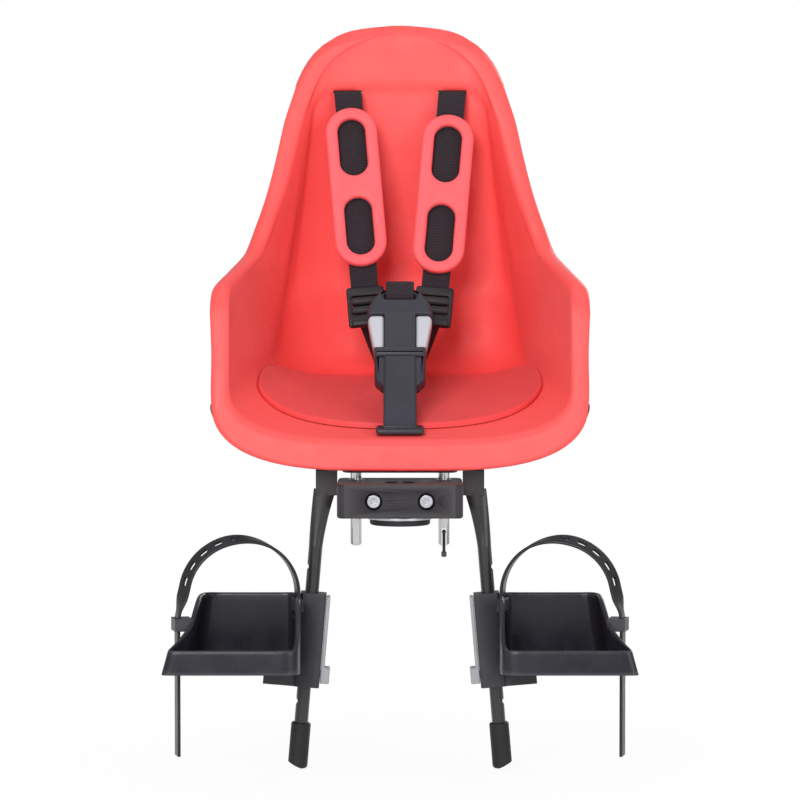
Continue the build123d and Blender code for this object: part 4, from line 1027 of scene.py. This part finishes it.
@dataclass
class Harness:
    """Webbing, shoulder pads and adjusters. Sizes in millimetres."""

    back: Place = (240.0, 240.0, 0.03)
    web: float = 25.0
    thick: float = 1.7
    top_x: float = 48.0
    top_z: float = 356.0
    top_room: float = 8.0
    low: Place = (32.0, 174.0, 178.0)
    adjuster_length: float = 37.0
    adjuster_width: float = 34.0
    adjuster_thickness: float = 6.0
    adjuster_window: Point = (-7.0, 10.0)
    behind_adjuster: float = 4.2
    lower_web: float = 16.0
    lower_x: float = 14.0
    lower_rear_x: float = 22.0
    lower_z: float = 104.0
    pad_length: float = 152.0
    pad_width: float = 47.0
    pad_thickness: float = 8.0
    window_length: float = 55.0
    window_width: float = 25.4
    window_pitch: float = 76.0
    keeper_half: float = 15.0
    keeper_reach: float = 6.0
    keeper_share: float = 0.36
    pad_share: dict[Side, float] = field(default_factory=lambda: {Side.LEFT: 0.50, Side.RIGHT: 0.535})

    def on_back(self, z: float) -> float:
        """How far back the inside of the backrest is at a height."""
        back_y, back_z, lean = self.back
        return back_y + lean * (z - back_z)

    def run(self, side: Side) -> tuple[Vector, Vector]:
        """Where a shoulder strap leaves its slot and where it meets its adjuster."""
        x, y, z = self.low
        top = Vector((side.value * self.top_x, self.on_back(self.top_z) - self.top_room, self.top_z))
        return top, Vector((side.value * x, y, z))

    def on_strap(self, side: Side, share: float, lift: float = 0.0) -> Matrix:
        """A frame on a shoulder strap, its third axis off the strap's face."""
        top, low = self.run(side)
        up = (top - low).normalized()
        across = (ACROSS - up * up.x).normalized()
        off = across.cross(up)
        return facing(top + (low - top) * share + off * lift, across, off)

    def adjuster_place(self, side: Side) -> Matrix:
        """The frame of a strap adjuster, just below its shoulder strap."""
        down = self.adjuster_length / 2 + 0.3
        return self.on_strap(side, 1.0) @ Matrix.Translation((0.0, -down * MM, 0.0))

    def straps(self, finish: Material) -> None:
        """The two shoulder straps, from the slots to behind the adjusters."""
        route = ((15.0, -2.4), (9.0, -self.behind_adjuster), (-14.0, -self.behind_adjuster))
        for side in Side:
            top, low = self.run(side)
            behind = top + Vector((0.0, 34.0, 0.0))
            line = bent_line([behind, top, low, *laid(self.adjuster_place(side), route)], 4.0, 2.0)
            ribbon = Ribbon(f"shoulder_webbing_{side.word}", self.web, self.thick)
            ribbon.lay(line, finish, f"shoulder_strap_{side.word}")

    def lower_straps(self, finish: Material) -> None:
        """The two straps from the adjusters to the slots above the pan."""
        for side in Side:
            top, low = self.run(side)
            off = self.adjuster_place(side).to_3x3() @ Vector((0.0, 0.0, 1.0))
            down = (top - low).normalized() * (self.adjuster_length - 5.5)
            start = low - down - off * self.behind_adjuster
            end = Vector((side.value * self.lower_x, self.on_back(self.lower_z) - 14.0, self.lower_z))
            inside = end + Vector((0.0, 12.0, 0.0))
            middle = Vector((side.value * self.lower_rear_x, end.y + 22.0, end.z))
            behind = Vector((middle.x, end.y + 40.0, end.z))
            line = bent_line([start, end, inside, middle, behind], 5.0)
            ribbon = Ribbon(f"lower_webbing_{side.word}", self.lower_web, self.thick)
            ribbon.lay(line, finish, f"lower_strap_{side.word}")

    def adjusters(self, finish: Material) -> None:
        """Two ladder-lock slides: a frame with two rounded bars in its window and a lip to lift it by."""
        half, reach = self.adjuster_width / 2, self.adjuster_length / 2
        wide = self.web / 2 + 0.5
        low, high = self.adjuster_window
        step = (high - low) / 2
        outlines = [rectangle(half, -reach, reach, 3.0, 6), rectangle(wide, low, high, 2.0, 4)]
        for side in Side:
            place = self.adjuster_place(side)
            pieces = [plate(f"strap_adjuster_{side.word}", outlines, self.adjuster_thickness, 1.3, place, 4)]
            for base in (low + 0.5, low + step + 0.5):
                bar = block((-wide - 1, base, -2.4), (wide + 1, base + step - 1.0, 4.0), place)
                pieces.append(soften(bar, 2.9, 4))
            lip = block((3 - half, 0.5 - reach, 1.5), (half - 3, 5.5 - reach, 4.6), place)
            pieces.append(soften(lip, 1.4))
            dress(join(pieces), "seat", finish, [f"adjuster_{side.word}"])

    def shoulder_pads(self, finish: Material) -> None:
        """Two foam pads with windows, each with keepers round the strap."""
        gap = self.thick / 2 + 0.35
        outlines = [stadium(self.pad_width, self.pad_length, 0.0, 28)]
        for middle in (-self.window_pitch / 2, self.window_pitch / 2):
            outlines.append(stadium(self.window_width, self.window_length, middle, 20))
        half, reach, post = self.keeper_half, self.keeper_reach, self.keeper_half - 1.1
        for side in Side:
            place = self.on_strap(side, self.pad_share[side], gap + self.pad_thickness / 2)
            pieces = [plate(f"shoulder_foam_{side.word}", outlines, self.pad_thickness, 2.6, place, 4)]
            strap = self.on_strap(side, self.pad_share[side])
            for step in (-1, 0, 1):
                up = step * self.keeper_share * self.pad_length
                pieces.append(block((-half, up - reach, -gap - 2.2), (half, up + reach, -gap), strap))
                for x in (-post, post):
                    low = (x - 1.1, up - reach, -gap - 1.0)
                    pieces.append(block(low, (x + 1.1, up + reach, gap + 1.0), strap))
            piece = join(pieces)
            dress(piece, f"pad_{side.word}", finish, [f"shoulder_pad_{side.word}"])


@dataclass
class Buckle:
    """The post on the pan, the buckle's housing and its two buttons. Sizes in millimetres and degrees."""

    post_y: float = 41.0
    post_z: float = 54.5
    lean: float = 40.0
    pan_slope: float = 0.21
    foot_z: float = 53.2
    foot_lift: float = 1.5
    foot_size: Place = (42.0, 16.0, 5.0)
    tongue_half: float = 12.5
    tongue_low: float = 29.8
    stalk_width: float = 29.0
    stalk_thickness: float = 13.0
    stalk_lift: float = 2.1
    collar_start: float = 47.0
    collar_length: float = 32.0
    collar_width: float = 45.0
    collar_thickness: float = 16.0
    collar_slant: Point = (6.5, 7.5)
    start: float = 79.5
    length: float = 78.0
    low_width: float = 45.0
    high_width: float = 58.0
    shoulder: float = 0.58
    thickness: float = 18.0
    button_inner: float = 14.0
    button_place: float = 27.2
    button_length: float = 37.0
    button_travel: float = 2.5
    floor_thickness: float = 3.0
    bridge_thickness: float = 1.6
    web: float = 25.0

    def place(self, lift: float = 0.0) -> Matrix:
        """The buckle's frame: first axis across, second along the post, third to the front."""
        lean = math.radians(self.lean)
        off = Vector((0.0, -math.cos(lean), math.sin(lean)))
        return facing(Vector((0.0, self.post_y, self.post_z)) + off * lift, ACROSS, off)

    def outline(self) -> list[Point]:
        """The housing's outline: flared sides below a domed top."""
        low, wide = self.low_width / 2, self.high_width / 2
        base = self.start + self.length * self.shoulder
        rise = self.length * (1.0 - self.shoulder)
        turns = [math.pi * k / 48 for k in range(49)]
        dome = [(wide * math.cos(t), base + rise * math.sin(t)) for t in turns]
        right = [(low - 1.6, self.start), (low - 0.3, self.start + 0.5), (low, self.start + 1.8)]
        return right + dome + [(-x, y) for x, y in reversed(right)]

    def pocket(self, side: Side) -> list[Point]:
        """The outline of the space for one button, open at the housing's side."""
        middle = self.start + self.button_place
        half = self.button_length / 2 + 0.5
        inner = side.value * (self.button_inner - self.button_travel - 0.4)
        outer = side.value * 45.0
        return rounded([
            (inner, middle - half, 3.5), (outer, middle - half, 0.0), (outer, middle + half, 0.0),
            (inner, middle + half, 3.5)], 5)

    def housing(self, finish: Material) -> None:
        """The dark housing, notched for the buttons and slotted for the webbing, on a thin floor."""
        loop = self.start + self.length - 12.0
        outlines = [self.outline(), rectangle(self.web / 2 + 0.9, loop - 2.6, loop + 2.6, 1.5, 3)]
        body = plate("buckle_housing", outlines, self.thickness, 3.6, self.place(), 6)
        cut(body, [plate("tool", [self.pocket(side)], 60.0, 0.01, self.place(), 0) for side in Side])
        low = (self.floor_thickness - self.thickness) / 2 + 0.2
        floor = plate("buckle_floor", outlines, self.floor_thickness, 1.2, self.place(low), 3)
        middle, reach = self.start + self.button_place, self.button_length / 2 + 2.0
        face = rectangle(self.button_inner - 0.25, middle - reach, middle + reach, 2.0, 4)
        front = self.place(self.thickness / 2 - 0.7)
        bridge = plate("buckle_bridge", [face], self.bridge_thickness, 0.3, front, 2)
        dress(join([body, floor, bridge]), "seat", finish, ["buckle_body"])

    def buttons(self, finish: Material) -> None:
        """The two light grey release buttons, which follow the housing's sides."""
        low = self.start + self.button_place - self.button_length / 2
        high = low + self.button_length
        flare = (self.high_width - self.low_width) / 2 / (self.length * self.shoulder)
        outer_low = self.low_width / 2 + flare * (low - self.start) + 0.4
        outer_high = self.high_width / 2 - 0.4
        thickness = self.thickness - self.floor_thickness - 2.4
        place = self.place(self.floor_thickness / 2 - 0.8)
        corners = [
            (self.button_inner, low, 3.4), (outer_low - 1.0, low, 5.0), (outer_high, high - 5.0, 9.0),
            (outer_high - 2.0, high, 4.0), (self.button_inner, high, 3.4)]
        for side in Side:
            outline = rounded([(side.value * x, y, r) for x, y, r in corners], 7)
            piece = plate(f"release_button_{side.word}", [outline], thickness, 2.8, place, 5)
            dress(piece, f"button_{side.word}", finish, [f"buckle_button_{side.word}"])

    def post(self, finish: Material) -> None:
        """The post: a foot on the pan, a flat stalk, a collar and the tongue through the shell."""
        wide, low = self.collar_width / 2, self.collar_start
        high = low + self.collar_length
        slant_x, slant_y = self.collar_slant
        collar = rounded([
            (slant_x - wide, low, 3.0), (wide - slant_x, low, 3.0), (wide, low + slant_y, 7.0),
            (wide, high, 2.0), (-wide, high, 2.0), (-wide, low + slant_y, 7.0)], 7)
        stalk = rectangle(self.stalk_width / 2, 0.0, high, 1.0, 3)
        slope = math.atan(self.pan_slope)
        off = Vector((0.0, -math.sin(slope), math.cos(slope)))
        length, depth, height = self.foot_size
        foot = rectangle(length / 2, -depth / 2, depth / 2, 4.0, 6)
        base = Vector((0.0, self.post_y, self.foot_z)) + off * (self.foot_lift + height / 2)
        under = (-self.tongue_half, self.post_y - 0.9, self.tongue_low)
        piece = join([
            plate("buckle_stand", [stalk], self.stalk_thickness, 1.6, self.place(self.stalk_lift), 5),
            plate("buckle_collar", [collar], self.collar_thickness, 4.0, self.place(), 6),
            plate("buckle_foot", [foot], height, 2.0, facing(base, ACROSS, off), 5),
            block(under, (self.tongue_half, self.post_y + 0.9, self.foot_z + 4.0)),
        ])
        dress(piece, "seat", finish, ["buckle_post"])

    def loop(self, finish: Material) -> None:
        """The webbing loop over the buckle's top bar."""
        half = self.thickness / 2 + 1.2
        base, crest = self.start + self.length - 13.0, self.start + self.length + 4.5
        front = [(base - 1.5, half - 5.0), (base + 1.5, half), (crest, half)]
        route = front + [(along, -off) for along, off in reversed(front)]
        line = bent_line(laid(self.place(), route), 5.0, 1.5)
        Ribbon("buckle_webbing_loop", self.web).lay(line, finish, "buckle_loop")


@dataclass
class FootStrap:
    """The slotted rubber bands over the feet. Sizes in millimetres and degrees."""

    width: float = 16.0
    thickness: float = 2.6
    turn: float = 14.0
    radius: float = 53.0
    centre: Place = (-140.5, 12.0, -84.0)
    tail: float = 138.0
    tail_steps: int = 46
    end: float = 13.2
    twist: float = 24.0
    lean_in: float = 6.0
    lean_start: float = -23.0
    lean_run: float = 33.0
    flat: float = 0.91
    slots: int = 5
    slot_step: float = 16.0
    first_slot: float = 165.0
    slot_half: Place = (4.2, 2.5, 6.0)

    def spot(self, across: float, up: float, side: Side) -> Vector:
        """A point in the strap's upright plane."""
        turn = math.radians(self.turn)
        x = self.centre[0] + across * math.cos(turn)
        y = self.centre[1] + across * math.sin(turn)
        return Vector((-side.value * x, y, self.centre[2] + up))

    def bend(self, across: float, up: float, side: Side) -> Vector:
        """A point of the band: the arch is a little flat and its outer side leans in above the holder."""
        share = ease((up - self.lean_start) / self.lean_run)
        lean = self.lean_in * share * (1.0 - across / self.radius) / 2
        return self.spot(across + lean, up * (self.flat if up > 0.0 else 1.0), side)

    def arch(self, angle: float, side: Side) -> Vector:
        """A point of the band's arch."""
        return self.bend(self.radius * math.cos(angle), self.radius * math.sin(angle), side)

    def tilted(self, place: Vector, across: Vector, side: Side) -> Vector:
        """The direction across the band at a place: its outer half is twisted to face the front."""
        centre = self.spot(0.0, 0.0, side)
        radial = place - centre
        outward = radial.dot(self.spot(-1.0, 0.0, side) - centre) / self.radius
        low = min(max(-radial.z / 14.0, 0.0), 1.0)
        tilt = math.radians(self.twist) * ease(min(max(outward + 0.75, 0.0), 1.0) * (1.0 - low))
        return across * math.cos(tilt) - radial.normalized() * math.sin(tilt)

    def slot(self, step: int, side: Side, straight: Vector) -> Piece:
        """One lens-shaped slot through the band."""
        angle = math.radians(self.first_slot) - self.slot_step / self.radius * step
        place = self.arch(angle, side)
        across = self.tilted(place, straight, side)
        ahead = self.spot(-math.sin(angle), math.cos(angle), side) - self.spot(0.0, 0.0, side)
        off = ahead.cross(across).normalized()
        high = Vector(self.slot_half)
        return soften(block(-high, high, facing(place, across.cross(off), off)), 1.9)

    def build(self, finish: Material) -> None:
        """Both straps, each with its row of slots and hanging tail."""
        turn = math.radians(self.turn)
        for side in Side:
            line = [self.spot(self.radius, -self.end * (1 - k / 5), side) for k in range(5)]
            line += [self.arch(math.pi * k / 60, side) for k in range(61)]
            drops = [self.tail * k / self.tail_steps for k in range(1, self.tail_steps + 1)]
            line += [self.bend(-self.radius, -drop, side) for drop in drops]
            across = Vector((-side.value * math.sin(turn), -math.cos(turn), 0.0))
            ribbon = Ribbon(f"foot_strap_band_{side.word}", self.width, self.thickness)
            piece = ribbon.build(line, [self.tilted(place, across, side) for place in line])
            cut(piece, [self.slot(step, side, across) for step in range(self.slots)])
            dress(piece, f"footrest_{side.word}", finish, [f"foot_strap_{side.word}"], 40.0)


@dataclass
class FootTray:
    """The foot trays' moulded walls with a rounded rim, a thin skin over the solids' plain walls."""

    floor_z: float = -147.0
    back_height: float = 61.0
    front_height: float = 20.5
    wall: float = 3.6
    skin: float = 0.2
    front_y: float = -42.0
    back_y: float = 52.0
    outer_x: float = 208.0
    inner_x: float = 86.0
    taper: float = 21.0
    flare_y: float = -10.0
    draft: float = 9.0
    corner: float = 15.0
    toe_corner: float = 7.0
    corner_steps: int = 8
    spacing: float = 3.0
    outer_run: float = 70.0
    inner_run: float = 26.0
    leg_lean: float = 0.0835
    leg_place: Place = (79.9, 42.0, -120.0)
    leg_room: float = 6.4
    rows: int = 8

    def outline(self, share: float, inset: float) -> np.ndarray:
        """The left wall's outline from above, at a share of the height."""
        draft = self.draft * share
        front, back = self.front_y + draft * 0.6 + inset, self.back_y - inset
        side = -self.outer_x + self.taper + draft + inset
        inner = -self.inner_x - inset
        toe = -self.outer_x + draft * 2.0 + inset
        closer = inset * 0.8
        wide = self.corner - closer
        corners = [
            (toe, front, self.toe_corner - closer), (inner, front, wide), (inner, back, wide),
            (side + 4.0, back, wide), (side, self.flare_y, wide)]
        return np.array(rounded(corners, self.corner_steps))

    def walls(self, inset: float) -> list[Wall]:
        """Points of the outline at the floor, each with its match at the top."""
        plain = self.outline(0.0, 0.0)
        lengths = np.linalg.norm(np.roll(plain, -1, axis=0) - plain, axis=1)
        counts = [max(1, round(float(length) / self.spacing)) for length in lengths]
        filled = []
        for points in (self.outline(0.0, inset), self.outline(1.0, inset)):
            ahead = np.roll(points, -1, axis=0)
            filled.append([a + (b - a) * k / n for a, b, n in zip(points, ahead, counts) for k in range(n)])
        return list(zip(*filled))

    def rim_height(self, x: float, y: float) -> float:
        """The rim's height: low at the toe, high at the heel and beside the leg."""
        run = self.outer_run if x < -(self.outer_x + self.inner_x) / 2 else self.inner_run
        share = min(max((y - self.front_y - 4.0) / run, 0.0), 1.0)
        share = 0.5 * math.sin(math.pi / 2 * share) + 0.5 * ease(share)
        return self.floor_z + self.front_height + (self.back_height - self.front_height) * share

    def at(self, wall: Wall, z: float) -> np.ndarray:
        """The point of a wall at a height."""
        low, high = wall
        return np.append(low + (high - low) * (z - self.floor_z) / self.back_height, z)

    def section(self, outer: Wall, inner: Wall) -> np.ndarray:
        """One upright section of the wall: up the outside, over the rim and down the inside."""
        low = self.floor_z - self.skin
        crest = self.rim_height(*outer[0]) - self.wall / 2
        climb = [low + (crest - low) * k / (self.rows - 1) for k in range(self.rows)]
        out, into = self.at(outer, crest), self.at(inner, crest)
        middle, half = (out + into) / 2, (out - into) / 2
        lift = np.array((0.0, 0.0, float(np.linalg.norm(half))))
        turns = [math.pi * k / 6 for k in range(1, 6)]
        over = [middle + half * math.cos(t) + lift * math.sin(t) for t in turns]
        down = [self.at(inner, max(z, self.floor_z + 1.0)) for z in reversed(climb)]
        return np.array([self.at(outer, z) for z in climb] + over + down)

    def leg_rod(self, side: Side) -> Piece:
        """A rod round the leg, to cut the wall with."""
        x, y, z = self.leg_place
        axis = Vector((-side.value * self.leg_lean, 0.0, 1.0))
        clear_selection()
        bpy.ops.mesh.primitive_cylinder_add(
            vertices=48, radius=self.leg_room * MM, depth=0.3, location=Vector((side.value * x, y, z)) * MM,
            rotation=axis.to_track_quat("Z", "Y").to_euler())
        bpy.ops.object.transform_apply(location=True, rotation=True, scale=True)
        return bpy.context.object

    def build(self, finish: Material) -> None:
        """Both trays' walls, bored for the legs."""
        pairs = zip(self.walls(-self.skin), self.walls(self.wall + self.skin))
        sections = np.array([self.section(outer, inner) for outer, inner in pairs])
        faces = ring_faces(sections.shape[0], sections.shape[1], closed=True)
        for side in Side:
            points = sections.reshape(-1, 3) * (-side.value, 1.0, 1.0)
            piece = from_faces(f"tray_wall_{side.word}", points, faces)
            cut(piece, [self.leg_rod(side)])
            dress(piece, f"footrest_{side.word}", finish, angle=40.0)


def dress_solids(finishes: Finishes) -> None:
    """Gives every solid that is shown as it is its finish."""
    groups = (
        (finishes.black, ("clamp_front", "clamp_rear", "pin_latch", "strap_anchors")),
        (finishes.zinc, (
            "clamp_bolts", "clamp_nuts", "bush_washer", "plate_screws", "leg_bolts", "latch_pivot")),
        (finishes.chrome, ("pin_bushes", "pin_left", "pin_right")),
        (finishes.steel, ("carrier_plate", "leg_left", "leg_right")),
        (finishes.rubber, ("stem_bush", "leg_cap_left", "leg_cap_right")),
        (finishes.deep_black, ("base_shell",)),
        (finishes.sleeve, ("footrest_left", "footrest_right")),
        (finishes.lock_grey, ("footrest_lock_left", "footrest_lock_right")),
    )
    for finish, names in groups:
        for name in names:
            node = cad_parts[name]
            node.data.materials.clear()
            node.data.materials.append(finish)
            LOG.info("%s keeps its solid", name)


@dataclass
class Studio:
    """Floor, lights, background and camera, in metres, watts and degrees."""

    target: Place = (0.0, 0.040, 0.0833)
    distance: float = 3.2
    elevation: float = 3.2
    lens: float = 165.5
    sensor: float = 36.0
    floor_z: float = -0.2412
    floor_size: float = 40.0
    floor_grey: float = 0.85
    shadow_run: Point = (0.05, 0.6)
    shadow_share: float = 0.93
    world_light: float = 0.42
    white: tuple[float, float, float, float] = (1.0, 1.0, 1.0, 1.0)

    def build(self) -> None:
        """Sets the whole stage."""
        bpy.context.scene.view_settings.view_transform = "Standard"
        self.floor()
        self.lights()
        self.background()
        self.camera()

    def floor(self) -> None:
        """A wide pale floor that keeps a faint shadow near the seat."""
        clear_selection()
        bpy.ops.mesh.primitive_plane_add(size=self.floor_size, location=(0.0, 0.0, self.floor_z))
        piece = bpy.context.object
        piece.name = "studio_floor"
        material = bpy.data.materials.new("studio_floor_white")
        tree = Tree(material)
        path = tree.node("LightPath").outputs
        seen = tree.math("MAXIMUM", path["Is Camera Ray"], path["Is Glossy Ray"])
        spot = tree.add("TexCoord", output="Object")
        away = tree.add("VectorMath", {0: spot}, "Value", operation="LENGTH")
        fade = tree.spread(away, *self.shadow_run, self.shadow_share)
        glow = tree.add("Emission", {"Color": self.white, "Strength": 1.0})
        matte = tree.add("BsdfDiffuse", {"Color": (self.floor_grey, self.floor_grey, self.floor_grey, 1.0)})
        mix = tree.add("MixShader", {0: tree.math("MULTIPLY", seen, fade), 1: matte, 2: glow})
        tree.node("OutputMaterial", {"Surface": mix})
        piece.data.materials.append(material)

    def aimed(self, name: str, data: object, place: Sequence[float]) -> Piece:
        """Puts a lamp or the camera at a place, pointed at the seat."""
        piece = linked(name, data)
        piece.location = place
        piece.rotation_euler = (Vector(self.target) - Vector(place)).to_track_quat("-Z", "Y").to_euler()
        return piece

    def lights(self) -> None:
        """A broad key from the front, a fill from the right, a top light and one for the back."""
        lamps = (
            ("key_lamp", (-0.8, -3.0, 1.5), 1.4, 90.0), ("fill_lamp", (2.3, -2.4, 1.0), 1.8, 32.0),
            ("top_lamp", (0.0, 0.3, 2.8), 1.8, 10.0), ("back_lamp", (1.6, 2.8, 1.2), 1.8, 26.0))
        for name, place, size, power in lamps:
            data = bpy.data.lights.new(name, "AREA")
            data.shape = "SQUARE"
            data.size = size
            data.energy = power
            self.aimed(name, data, place)

    def background(self) -> None:
        """White where the camera looks, softer as a light."""
        world = bpy.data.worlds.new("studio")
        bpy.context.scene.world = world
        tree = Tree(world)
        path = tree.node("LightPath").outputs
        seen = tree.math("MAXIMUM", path["Is Camera Ray"], path["Is Transmission Ray"])
        level = tree.spread(seen, 0.0, 1.0, self.world_light)
        back = tree.add("Background", {"Color": self.white, "Strength": level})
        tree.node("OutputWorld", {"Surface": back})

    def camera(self) -> None:
        """The camera at the photograph's angle."""
        data = bpy.data.cameras.new("camera")
        data.lens = self.lens
        data.sensor_width = self.sensor
        data.clip_end = 100.0
        rise = math.radians(self.elevation)
        place = Vector(self.target) + self.distance * Vector((0.0, -math.cos(rise), math.sin(rise)))
        bpy.context.scene.camera = self.aimed("camera", data, place)


def main() -> None:
    """Builds the looks in order and reports each piece."""
    logging.basicConfig(level=logging.INFO, format="%(name)s: %(message)s")
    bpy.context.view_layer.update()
    Studio().build()
    finishes = Finishes()
    dress_solids(finishes)
    seat = Seat()
    seat.shell(finishes.foam)
    seat.pad(finishes.pad_foam)
    harness = Harness()
    harness.straps(finishes.webbing)
    harness.lower_straps(finishes.webbing)
    harness.shoulder_pads(finishes.shoulder_foam)
    harness.adjusters(finishes.black)
    buckle = Buckle()
    buckle.housing(finishes.grey)
    buckle.buttons(finishes.pale)
    buckle.post(finishes.grey)
    buckle.loop(finishes.webbing)
    FootStrap().build(finishes.strap_rubber)
    FootTray().build(finishes.tray)


if __name__ == "__main__":
    main()
